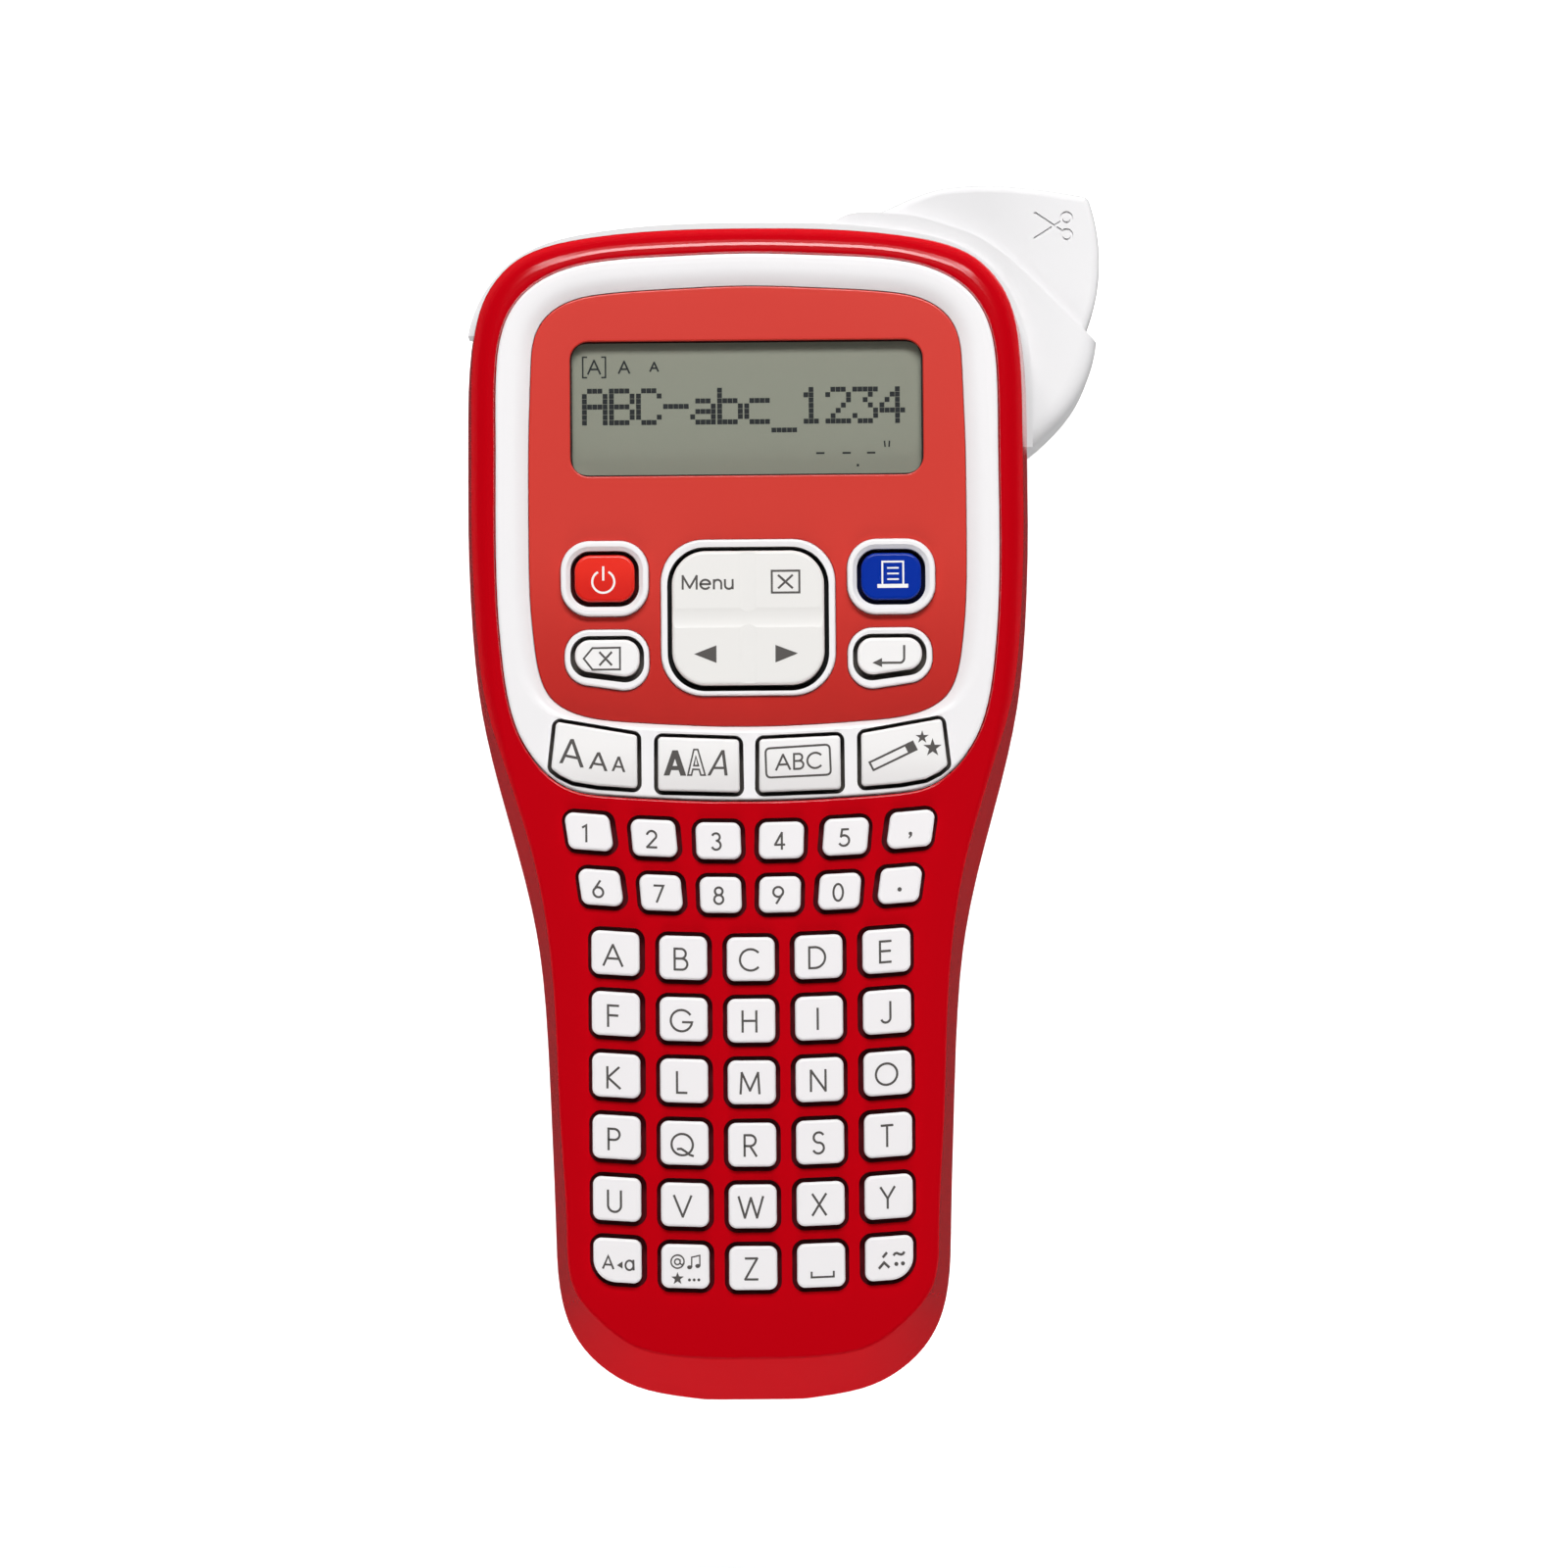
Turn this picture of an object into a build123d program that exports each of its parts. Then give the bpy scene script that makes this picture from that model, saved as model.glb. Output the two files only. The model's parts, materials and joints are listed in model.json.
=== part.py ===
from build123d import *
import os
from math import acos, cos, hypot, pi, radians, sin, tan

os.makedirs("parts", exist_ok=True)

# Hand-held label maker, lying on its back. +Y runs from the handle to the display
# head, +X to the right, +Z up out of the keypad face. The origin lies on the flat
# back, on the plane of symmetry, behind the middle of the head. Millimetres.

# ------------------------------------------------------------------ driving dimensions
wall = 2.0                # wall of the shells
z_split_cover = 5.0       # top of the back cover in the head
z_handle_back = 20.0      # back of the handle
z_split_handle = 24.0     # top of the back cover in the handle
z_part = 33.0             # parting plane of front shell and rear case
z_face = 55.0             # keypad face
z_ledge = 51.0            # ledge that the face frame sits on
z_frame = 54.8            # top of the face frame
z_panel = 52.2            # underside of the display panel
panel_thick = 1.0
z_collar = 53.95          # top of the collars round the upper keys
z_high_collar = 54.6      # top of the collars round the power and print keys
frame_gap = 0.28          # gap between face frame and shell
z_board = 45.0            # underside of the circuit board
board_thick = 1.6
mat_thick = 1.2
z_mat = z_board + board_thick + mat_thick
key_travel = 0.8
key_gap = 0.74            # gap round a key cap
key_flange = 0.5          # how far a cap's flange reaches under its hole
z_face_cap = 51.6         # underside of caps in the keypad face
z_face_top = 56.5         # top of those caps
z_frame_cap = 49.9        # underside of caps in the face frame
flange_thick = 0.9

# Half outline of the shells at the parting plane, from top centre to bottom centre
body_half = [
    (0, 51.16), (14.7, 50.87), (26.34, 49.63), (34.5, 47.69), (39.36, 45.11), (43.16, 41.14),
    (45.86, 35.93), (47.12, 29.73), (47.68, 14.4), (47.7, -2.38), (47.04, -18.21), (45.67, -30.9),
    (43.11, -42.73), (38.77, -58.72), (36.16, -71.19), (34.92, -83.31), (34.1, -101.51),
    (33.49, -119.45), (32.74, -130.33), (31.07, -135.97), (28.02, -140.58), (23.62, -144.23),
    (17.92, -146.72), (10.32, -148.08), (0, -148.37),
]
# How far the wall of the front shell leans in at each point, and the rounding where it meets the face
face_inset = [3.2, 3.2, 3.0, 2.7, 2.3, 1.9, 1.7, 1.6, 1.6, 1.6, 1.6, 1.7, 2.5, 2.9, 2.5, 2.3, 2.2,
              2.6, 3.3, 5.2, 6.2, 6.6, 7.0, 7.3, 7.4]
edge_round = [3.35, 3.5, 3.45, 3.9, 4.0, 4.0, 3.8, 3.4, 3.2, 3.1, 2.9, 2.2, 1.0, 0.5, 0.5, 0.5, 0.5,
              0.5, 0.5, 0.5, 0.5, 0.5, 0.5, 0.5, 0.5]
# How far the flat back lies inside the outline at each point
back_inset = [5.0, 5.0, 5.0, 4.9, 4.8, 4.7, 4.6, 4.5, 4.5, 4.5, 4.5, 4.5, 4.5, 4.5, 4.5, 4.6, 4.8,
              5.2, 6.0, 7.2, 8.6, 9.6, 10.4, 10.8, 11.0]
# Half outline of the white face frame, and of the coloured panel inside it
frame_half = [
    (0, 43.79), (12.92, 43.39), (24.28, 42.6), (29.87, 41.45), (34.15, 39.6), (37.4, 37.1),
    (39.6, 34.1), (41.12, 30.1), (41.9, 24.29), (42.07, 13.29), (42.15, -2.51), (41.9, -14.8),
    (41.1, -24.86), (39.85, -32.4), (38.25, -37.05), (36.15, -40.55), (33.6, -43.4),
    (29.8, -45.85), (23.9, -47.0), (13.4, -47.7), (0, -48.05),
]
panel_half = [
    (0, 38.48), (12.38, 38.06), (24.04, 37.26), (28.85, 36.33), (32.0, 34.8), (34.26, 32.59),
    (35.53, 29.91), (36.17, 24.54), (36.58, 12.39), (36.65, -2.05), (36.46, -14.3), (35.7, -22.72),
    (34.6, -27.88), (33.13, -30.57), (30.88, -32.39), (27.27, -33.79), (20.83, -34.69),
    (9.43, -35.39), (0, -35.62),
]
# Width of the sloping inner edge of the face frame at each of those panel points
frame_slope = [3.5, 3.5, 3.5, 3.5, 3.5, 3.5, 3.5, 3.5, 3.6, 3.6, 3.6, 3.4, 2.9, 2.3, 1.7, 1.3, 1.1, 1.0, 1.0]
# Height of that sloping edge at fractions of its width: a soft swelling
slope_steps = [(0.0, 53.3), (0.2, 53.84), (0.4, 54.26), (0.6, 54.56), (0.8, 54.72), (1.0, 54.78), (1.3, 54.93)]

window_w, window_h, window_r = 59.2, 22.8, 3.2      # display window
window_y = 17.95

# Cutter lever: it turns about this pin and its outer edge is an arc about it
pivot_x, pivot_y = 27.5, 45.7
lever_r = 33.1
lever_bottom, lever_top = 16.2, 29.8
guard_bottom, guard_top = 14.0, 31.8
guard_skin = 1.6
pin_r = 1.5

# Print path: the tape stands on edge in the plane x = tape_x
tape_x = 20.0
tape_thick = 0.2
tape_low, tape_high = 6.0, 18.0
platen_r = 4.0
platen_x = tape_x + tape_thick / 2 + 0.02 + platen_r
platen_y = 12.0

# Gears: module, tooth counts and the directions from one axis to the next
gear_module = 0.6
platen_teeth, ribbon_teeth = 30, 24
small_teeth, large_teeth = 14, 36
pinion_teeth = 12
gear_play = 0.05          # added to each distance between axes
z_gear_low, z_gear_high = 24.0, 27.3
low_gear_width, high_gear_width = 3.0, 2.5
transfer_dir = radians(-50)
ribbon_dir = radians(180)
pinion_dir = radians(-95)
transfer_dist = gear_module * (platen_teeth + small_teeth) / 2 + gear_play
ribbon_dist = gear_module * (platen_teeth + ribbon_teeth) / 2 + gear_play
pinion_dist = gear_module * (large_teeth + pinion_teeth) / 2 + gear_play
transfer_x = platen_x + transfer_dist * cos(transfer_dir)
transfer_y = platen_y + transfer_dist * sin(transfer_dir)
ribbon_x = platen_x + ribbon_dist * cos(ribbon_dir)
ribbon_y = platen_y + ribbon_dist * sin(ribbon_dir)
motor_x = transfer_x + pinion_dist * cos(pinion_dir)
motor_y = transfer_y + pinion_dist * sin(pinion_dir)
motor_r, motor_length = 7.5, 17.0

z_plate, plate_thick = 22.0, 1.2      # chassis plate
reel_x, reel_y, reel_r = -13.0, -2.0, 16.5
cell_r, cell_length = 5.25, 44.5      # dry cells
cell_rows = [-84.0, -95.0, -106.0]
cell_layers = [27.6, 38.2]

case_screws_at = [(0, 46.2), (-42.2, 28), (-40.6, -33), (40.6, -33), (-23.6, -138.2), (23.6, -138.2)]
plate_screws_at = [(-40.4, 13), (40.4, 13), (-39.4, -26), (39.4, -26)]


# ------------------------------------------------------------------ outline helpers
def moved(half, amount):
    """Moves a half outline outwards by amount, one number or one for each point."""
    n = len(half)
    amounts = amount if isinstance(amount, list) else [amount] * n
    out = []
    for i, (x, y) in enumerate(half):
        px, py = half[i - 1] if i else (-half[1][0], half[1][1])
        qx, qy = half[i + 1] if i < n - 1 else (-half[-2][0], half[-2][1])
        l1, l2 = hypot(x - px, y - py), hypot(qx - x, qy - y)
        tx = (x - px) / l1 * l2 + (qx - x) / l2 * l1
        ty = (y - py) / l1 * l2 + (qy - y) / l2 * l1
        t = hypot(tx, ty)
        out.append((x - ty / t * amounts[i] if 0 < i < n - 1 else 0.0, y + tx / t * amounts[i]))
    return out


def outline(half, z, along=None):
    """Closed face at height z inside a half outline and its mirror image, spaced like the half outline along."""
    along = along or half
    spans = [hypot(q[0] - p[0], q[1] - p[1]) for p, q in zip(along, along[1:])]
    places = [sum(spans[:i]) / sum(spans) for i in range(len(along))]
    right = Edge.make_spline([Vector(x, y, z) for x, y in half], tangents=[Vector(1, 0, 0), Vector(-1, 0, 0)],
                             parameters=places)
    return Face(Wire([right, right.mirror(Plane.YZ)]))


def grown(points, d):
    """Moves each side of a convex polygon outwards by d."""
    n = len(points)
    area = sum(points[i][0] * points[(i + 1) % n][1] - points[(i + 1) % n][0] * points[i][1] for i in range(n))
    s = 1 if area > 0 else -1
    lines = []
    for i in range(n):
        (x0, y0), (x1, y1) = points[i], points[(i + 1) % n]
        length = hypot(x1 - x0, y1 - y0)
        nx, ny = s * (y1 - y0) / length, -s * (x1 - x0) / length
        lines.append((nx, ny, nx * x0 + ny * y0 + d))
    out = []
    for i in range(n):
        a, b = lines[i - 1], lines[i]
        det = a[0] * b[1] - a[1] * b[0]
        out.append(((a[2] * b[1] - a[1] * b[2]) / det, (a[0] * b[2] - a[2] * b[0]) / det))
    return out


def rounded(points, radius, z, d=0.0, soft=None):
    """Face at height z: a polygon grown by d, corners rounded, the corner soft more than the others."""
    pts = grown(points, d) if d else points
    with BuildSketch(Plane.XY.offset(z)) as face:
        Polygon(*pts, align=None)
        if soft is None:
            fillet(face.vertices(), radius + d)
        else:
            place = Vector(pts[soft][0], pts[soft][1], 0)
            near = [v for v in face.vertices() if (Vector(*v) - place).length < 0.01]
            far = [v for v in face.vertices() if (Vector(*v) - place).length >= 0.01]
            fillet(far, radius + d)
            near = [v for v in face.vertices() if (Vector(*v) - place).length < 0.01]
            fillet(near, radius + 2.6 + d)
    return face.sketch


def rect(cx, cy, w, h):
    return [(cx - w / 2, cy - h / 2), (cx + w / 2, cy - h / 2), (cx + w / 2, cy + h / 2), (cx - w / 2, cy + h / 2)]


def mirrored(points):
    return [(-x, y) for x, y in reversed(points)]


def gear_outline(teeth, turn, addendum=0.85, dedendum=1.12, pressure=radians(25), thin=0.09):
    """Points of an involute spur gear with a tooth centred on the angle turn."""
    m = gear_module
    r = m * teeth / 2
    tip, root, base = r + addendum * m, r - dedendum * m, r * cos(pressure)
    half = (pi * m / 2 - thin) / (2 * r)
    low = max(base, root)
    flank = []
    for i in range(5):
        radius = low + (tip - low) * i / 4
        a = acos(min(1.0, base / radius))
        flank.append((radius, half + (tan(pressure) - pressure) - (tan(a) - a)))
    if root < base:
        flank.insert(0, (root, flank[0][1]))
    points = []
    for k in range(teeth):
        c = turn + 2 * pi * k / teeth
        points += [(radius * cos(c - t), radius * sin(c - t)) for radius, t in flank]
        points += [(radius * cos(c + t), radius * sin(c + t)) for radius, t in reversed(flank)]
    return points


def meshed(turn, teeth, direction, other):
    """Turn of a gear with other teeth that meshes with a gear of teeth at turn, seen along direction."""
    return direction + pi - teeth / other * (turn - direction) + pi / other


def at(points, x, y):
    return [(px + x, py + y) for px, py in points]


# ------------------------------------------------------------------ key layout
# Rows of caps: each cap is a four-sided shape; the rows smile and the number keys lean inwards
row_slope = 0.0031
lean = 0.0056


def hole_points(cap):
    """Sides of a key hole before it is grown: a little nearer to the middle than its cap."""
    shift = -0.006 * sum(x for x, _ in cap) / len(cap)
    return [(x + shift, y) for x, y in cap]


def cap_points(cx, cy, w, h, leaning):
    out = []
    for u, v in ((-w / 2, -h / 2), (w / 2, -h / 2), (w / 2, h / 2), (-w / 2, h / 2)):
        out.append((cx + u + leaning * cx * v, cy + v + row_slope * cx * u))
    return out


number_rows = [
    [cap_points(x, y, 7.5, 6.1, lean) for x, y in
     ((-26.8, -53.2), (-15.97, -54.33), (-5.25, -54.87), (5.25, -54.87), (15.97, -54.33), (26.8, -53.2))],
    [cap_points(x, y, 6.95, 5.95, lean) for x, y in
     ((-24.9, -62.5), (-14.87, -63.46), (-4.93, -63.9), (4.93, -63.9), (14.87, -63.46), (24.9, -62.5))],
]
letter_rows = []
for middle, rise in ((-74.63, 1.13), (-84.87, 1.25), (-95.12, 1.26), (-105.48, 1.38), (-115.7, 1.36), (-125.9, 1.38)):
    letter_rows.append([cap_points(x, middle + rise * (x / 22.5) ** 2 + 0.05 * abs(x) / 22.5, 8.0, 7.25, 0.0)
                        for x in (-22.5, -11.25, 0.0, 11.28, 22.57)])
cap_corner = 1.35

power_cap = rect(-23.97, -10.68, 10.05, 7.85)
delete_cap = [(-29.0, -26.08), (-18.2, -27.52), (-18.2, -21.05), (-29.0, -21.05)]
nav_cap_w, nav_cap_h, nav_r, nav_y = 25.45, 22.5, 5.7, -17.55
function_caps = [
    [(-33.05, -42.5), (-31.65, -43.62), (-29.4, -44.75), (-25.3, -45.45), (-18.68, -45.97), (-18.7, -37.12), (-32.15, -34.75)],
    [(-15.25, -46.37), (-1.6, -46.8), (-1.7, -37.98), (-15.2, -37.42)],
]
function_caps = function_caps + [mirrored(function_caps[1]), mirrored(function_caps[0])]
power_rim = rect(-23.97, -10.7, 14.7, 12.6)
delete_rim = [(-30.75, -28.0), (-16.6, -30.1), (-16.6, -19.25), (-30.75, -19.25)]
nav_rim = rect(0, -17.37, 29.2, 26.2)
power_hole = rect(-23.97, -10.75, 11.5, 9.4)
delete_hole = grown([(-29.05, -26.3), (-18.2, -27.75), (-18.2, -21.05), (-29.05, -21.05)], 0.75)
nav_hole = rect(0, nav_y - 0.08, 27.05, 24.2)
high_collars = [(power_rim, 4.9), (mirrored(power_rim), 4.9)]
collars = high_collars + [(delete_rim, 4.2), (mirrored(delete_rim), 4.2), (nav_rim, 7.2)]
collar_holes = [(power_hole, 3.3), (mirrored(power_hole), 3.3), (delete_hole, 3.2), (mirrored(delete_hole), 3.2),
                (nav_hole, 6.4)]

# ------------------------------------------------------------------ front shell
with BuildPart() as front_shell:
    for z in (z_part, 51.0, 51.6, 52.2, 52.75, 53.25, 53.7, 54.1, 54.42, 54.66, 54.84, 54.95, z_face):
        rise = (z - z_part) / (z_face - z_part)
        insets = []
        for a, r in zip(face_inset, edge_round):
            over = max(0.0, z - (z_face - r))
            insets.append(-a * rise - r + max(0.0, r * r - over * over) ** 0.5)
        add(outline(moved(body_half, insets), z, body_half))
    loft(ruled=True)
    # the hollow
    add(outline(moved(body_half, -wall), z_part - 0.2, body_half))
    add(outline(moved(body_half, [-a - wall for a in face_inset]), z_face - wall, body_half))
    loft(mode=Mode.SUBTRACT)
    # ledge that carries the face frame, and the opening for it
    add(outline(moved(frame_half, 1.7), z_ledge - 1.6, frame_half))
    extrude(amount=z_face - 0.8 - z_ledge + 1.6)
    add(outline(moved(frame_half, frame_gap), z_ledge, frame_half))
    extrude(amount=z_face - z_ledge + 1, mode=Mode.SUBTRACT)
    fillet([e for e in front_shell.edges() if abs(e.center().Z - z_face) < 0.01 and e.bounding_box().min.Y > -60], 0.3)
    add(outline(moved(frame_half, -2.0), z_ledge - 2, frame_half))
    extrude(amount=4, mode=Mode.SUBTRACT)
    with Locations((0, -43.5, z_ledge - 2)):
        Box(73, 21, 4, mode=Mode.SUBTRACT)
    # key holes
    for row in number_rows + letter_rows:
        for i, cap in enumerate(row):
            soft = None
            if row is letter_rows[-1]:
                soft = {0: 0, 4: 1}.get(i)
            add(rounded(hole_points(cap), cap_corner, z_face - wall - 0.5, key_gap, soft))
    extrude(amount=wall + 2, mode=Mode.SUBTRACT)
    # screw bosses
    with BuildSketch(Plane.XY.offset(z_part)):
        with Locations(*case_screws_at):
            Circle(2.7)
    extrude(amount=5.5)
    with BuildSketch(Plane.XY.offset(z_part)):
        with Locations(*case_screws_at):
            Circle(1.05)
    extrude(amount=5, mode=Mode.SUBTRACT)
front_shell.part.label = "front_shell"
export_step(front_shell.part, "parts/front_shell.step")

# ------------------------------------------------------------------ face frame
with BuildPart() as face_frame:
    add(outline(frame_half, z_ledge))
    extrude(amount=z_frame - z_ledge)
    fillet(face_frame.edges().group_by(Axis.Z)[-1], 0.5)
    add(outline(moved(panel_half, 0.1), z_panel, panel_half))
    extrude(amount=6, mode=Mode.SUBTRACT)
    for part, z in slope_steps:
        add(outline(moved(panel_half, [0.1 + part * a for a in frame_slope]), z, panel_half))
    loft(mode=Mode.SUBTRACT)
    for rim, r in collars[2:]:
        add(rounded(rim, r, z_panel - 0.2))
    extrude(amount=z_collar - z_panel + 0.2)
    fillet(face_frame.edges().filter_by_position(Axis.Z, z_collar - 0.01, z_collar + 0.01), 0.45)
    for rim, r in high_collars:
        add(rounded(rim, r, z_panel - 0.2))
    extrude(amount=z_high_collar - z_panel + 0.2)
    fillet(face_frame.edges().filter_by_position(Axis.Z, z_high_collar - 0.01, z_high_collar + 0.01), 0.45)
    for hole, r in collar_holes:
        add(rounded(hole, r, z_ledge - 1))
    for cap in function_caps:
        add(rounded(cap, 0.75, z_ledge - 1, 0.7))
    extrude(amount=6, mode=Mode.SUBTRACT)
    # the two high collars slope down to their keys
    chamfer(face_frame.edges().filter_by_position(Axis.Z, z_high_collar - 0.01, z_high_collar + 0.01).filter_by(
        lambda e: abs(abs(e.center().X) - 23.97) < 6.3 and abs(e.center().Y + 10.75) < 5.2), 0.7)
    with BuildSketch(Plane.XY.offset(z_ledge - 1)):
        with Locations((0, window_y)):
            RectangleRounded(window_w + 2.8, window_h + 2.8, window_r + 0.6)
    extrude(amount=6, mode=Mode.SUBTRACT)
face_frame.part.label = "face_frame"
export_step(face_frame.part, "parts/face_frame.step")

# ------------------------------------------------------------------ display
with BuildPart() as display_panel:
    add(outline(panel_half, z_panel))
    extrude(amount=panel_thick)
    for rim, r in collars:
        add(rounded(rim, r, z_panel - 1, 0.08))
    extrude(amount=4, mode=Mode.SUBTRACT)
    with BuildSketch(Plane.XY.offset(z_panel - 1)):
        with Locations((0, window_y)):
            RectangleRounded(window_w, window_h, window_r)
    extrude(amount=4, mode=Mode.SUBTRACT)
    fillet(display_panel.edges().group_by(Axis.Z)[-1], 0.25)
display_panel.part.label = "display_panel"
export_step(display_panel.part, "parts/display_panel.step")

with BuildPart() as display_lens:
    with BuildSketch(Plane.XY.offset(z_panel - 0.8)):
        with Locations((0, window_y)):
            RectangleRounded(window_w + 2.4, window_h + 2.4, window_r + 0.5)
    extrude(amount=0.8)
display_lens.part.label = "display_lens"
export_step(display_lens.part, "parts/display_lens.step")

with BuildPart() as lcd_module:
    # two glass sheets, the lower one with a contact edge
    with BuildSketch(Plane.XY.offset(48.3)):
        with Locations((0, window_y - 1)):
            Rectangle(66, 30)
    extrude(amount=1.2)
    with BuildSketch(Plane.XY.offset(49.5)):
        with Locations((0, window_y)):
            Rectangle(66, 27)
    extrude(amount=1.4)
lcd_module.part.label = "lcd_module"
export_step(lcd_module.part, "parts/lcd_module.step")

with BuildPart() as lcd_holder:
    with BuildSketch(Plane.XY.offset(z_board + board_thick)):
        with Locations((0, window_y - 1)):
            Rectangle(69, 33)
    extrude(amount=48.3 - z_board - board_thick)
    with BuildSketch(Plane.XY.offset(48.3)):
        with Locations((0, window_y - 1)):
            Rectangle(69, 33)
            Rectangle(66.2, 30.2, mode=Mode.SUBTRACT)
    extrude(amount=1.6)
    with BuildSketch(Plane.XY.offset(z_board + board_thick)):
        with Locations((0, window_y)):
            Rectangle(58, 22)
    extrude(amount=1.0, mode=Mode.SUBTRACT)
lcd_holder.part.label = "lcd_holder"
export_step(lcd_holder.part, "parts/lcd_holder.step")

# ------------------------------------------------------------------ circuit board and keypad mat
board_half = [(0, 41.0), (30, 41.0), (36, 35), (36, -30), (33, -44), (29.5, -60), (27, -76), (26.6, -130.5), (0, -130.5)]
with BuildPart() as main_board:
    with BuildSketch(Plane.XY.offset(z_board)):
        Polygon(*(board_half + [(-x, y) for x, y in reversed(board_half[1:-1])]), align=None)
    extrude(amount=board_thick)
    # processor, driver and connectors on the underside
    for x, y, w, h, t in ((-12, 24, 14, 14, 1.4), (12, 24, 9, 6, 1.2), (22, -8, 10, 4, 3.0), (-20, -8, 6, 5, 1.6), (0, -52, 12, 4, 3.5)):
        with BuildSketch(Plane.XY.offset(z_board - t)):
            with Locations((x, y)):
                Rectangle(w, h)
        extrude(amount=t)
main_board.part.label = "main_board"
export_step(main_board.part, "parts/main_board.step")


def centre(points):
    return (sum(p[0] for p in points) / len(points), sum(p[1] for p in points) / len(points))


mat_half = [(0, -4.5), (33.5, -4.5), (33.5, -30), (34.5, -41), (29, -60), (26.4, -76), (26.2, -130), (0, -130)]
with BuildPart() as keypad_mat:
    with BuildSketch(Plane.XY.offset(z_board + board_thick)):
        Polygon(*(mat_half + [(-x, y) for x, y in reversed(mat_half[1:-1])]), align=None)
    extrude(amount=mat_thick)
    with BuildSketch(Plane.XY.offset(z_mat - 0.1)):
        for row in number_rows + letter_rows:
            for cap in row:
                with Locations(centre(cap)):
                    RectangleRounded(5.2, 4.4, 0.8)
    extrude(amount=z_face_cap - z_mat + 0.1)
    with BuildSketch(Plane.XY.offset(z_mat - 0.1)):
        for cap in [power_cap, mirrored(power_cap), delete_cap, mirrored(delete_cap)] + function_caps:
            with Locations(centre(cap)):
                RectangleRounded(6.5, 4.6, 0.9)
    extrude(amount=z_frame_cap - z_mat + 0.1)
    with BuildSketch(Plane.XY.offset(z_mat - 0.1)):
        with Locations((0, nav_y)):
            RectangleRounded(12, 3, 0.6)
    extrude(amount=48.0 - z_mat + 0.1)
keypad_mat.part.label = "keypad_mat"
export_step(keypad_mat.part, "parts/keypad_mat.step")

# ------------------------------------------------------------------ keys in the keypad face
row_names = ["number_row_1_keys", "number_row_2_keys"] + [f"letter_row_{i}_keys" for i in range(1, 7)]
for name, row in zip(row_names, number_rows + letter_rows):
    with BuildPart() as key_row:
        for i, cap in enumerate(row):
            soft = {0: 0, 4: 1}.get(i) if row is letter_rows[-1] else None
            add(rounded(cap, cap_corner, z_face_cap, 0.0, soft))
        extrude(amount=z_face_top - z_face_cap)
        fillet(key_row.edges().group_by(Axis.Z)[-1], 0.5)
        for i, cap in enumerate(row):
            soft = {0: 0, 4: 1}.get(i) if row is letter_rows[-1] else None
            add(rounded(cap, cap_corner, z_face_cap, key_gap + key_flange, soft))
        extrude(amount=flange_thick)
    key_row.part.label = name
    export_step(key_row.part, f"parts/{name}.step")

# ------------------------------------------------------------------ keys in the face frame
frame_keys = [
    ("power_key", power_cap, 2.7, 54.1, 0.5, 1.2),
    ("print_key", mirrored(power_cap), 2.7, 54.1, 0.5, 1.2),
    ("delete_key", delete_cap, 2.55, 55.1, 0.5, 1.2),
    ("enter_key", mirrored(delete_cap), 2.55, 55.1, 0.5, 1.2),
    ("size_key", function_caps[0], 0.65, 56.0, 0.45, 1.05),
    ("style_key", function_caps[1], 0.65, 56.0, 0.45, 1.05),
    ("frame_key", function_caps[2], 0.65, 56.0, 0.45, 1.05),
    ("decor_key", function_caps[3], 0.65, 56.0, 0.45, 1.05),
]
for name, cap, r, top, edge, flange in frame_keys:
    with BuildPart() as key:
        add(rounded(cap, r, z_frame_cap))
        extrude(amount=top - z_frame_cap)
        fillet(key.edges().group_by(Axis.Z)[-1], edge)
        add(rounded(cap, r, z_frame_cap, flange))
        extrude(amount=flange_thick)
    key.part.label = name
    export_step(key.part, f"parts/{name}.step")

# ------------------------------------------------------------------ navigation pad on its rocker
rock_axis_z = 50.95       # the pad rocks from side to side about this height
tip_axis_z = 49.2         # the rocker tips up and down about this height
with BuildPart() as nav_rocker:
    with BuildSketch(Plane.XY.offset(49.2)):
        with Locations((0, nav_y)):
            RectangleRounded(28.6, 25.6, 7)
    extrude(amount=0.9)
    with BuildSketch(Plane.XZ.offset(-nav_y - 7)):
        with Locations((0, rock_axis_z)):
            Circle(1.0)
        with Locations((0, rock_axis_z - 0.6)):
            Rectangle(1.4, 1.2)
    extrude(amount=14)
    with BuildSketch(Plane.YZ.offset(-6)):
        with Locations((nav_y, tip_axis_z)):
            Circle(1.0)
    extrude(amount=12)
nav_rocker.part.label = "nav_rocker"
export_step(nav_rocker.part, "parts/nav_rocker.step")

with BuildPart() as nav_pad:
    with BuildSketch(Plane.XY.offset(rock_axis_z + 0.02)):
        with Locations((0, nav_y)):
            RectangleRounded(nav_cap_w, nav_cap_h, nav_r)
    extrude(amount=55.3 - rock_axis_z - 0.02)
    fillet(nav_pad.edges().group_by(Axis.Z)[-1], 0.6)
    # soft valleys between the four press points
    with BuildSketch(Plane.YZ.offset(-20)):
        with Locations((nav_y, 55.3 - 0.17 + 8)):
            Circle(8)
    extrude(amount=40, mode=Mode.SUBTRACT)
    with BuildSketch(Plane.XZ.offset(-nav_y - 20)):
        with Locations((0, 55.3 - 0.1 + 9)):
            Circle(9)
    extrude(amount=40, mode=Mode.SUBTRACT)
    with BuildSketch(Plane.XZ.offset(-nav_y - 8)):
        with Locations((0, rock_axis_z)):
            Circle(1.06)
    extrude(amount=16, mode=Mode.SUBTRACT)
nav_pad.part.label = "nav_pad"
export_step(nav_pad.part, "parts/nav_pad.step")

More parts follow.
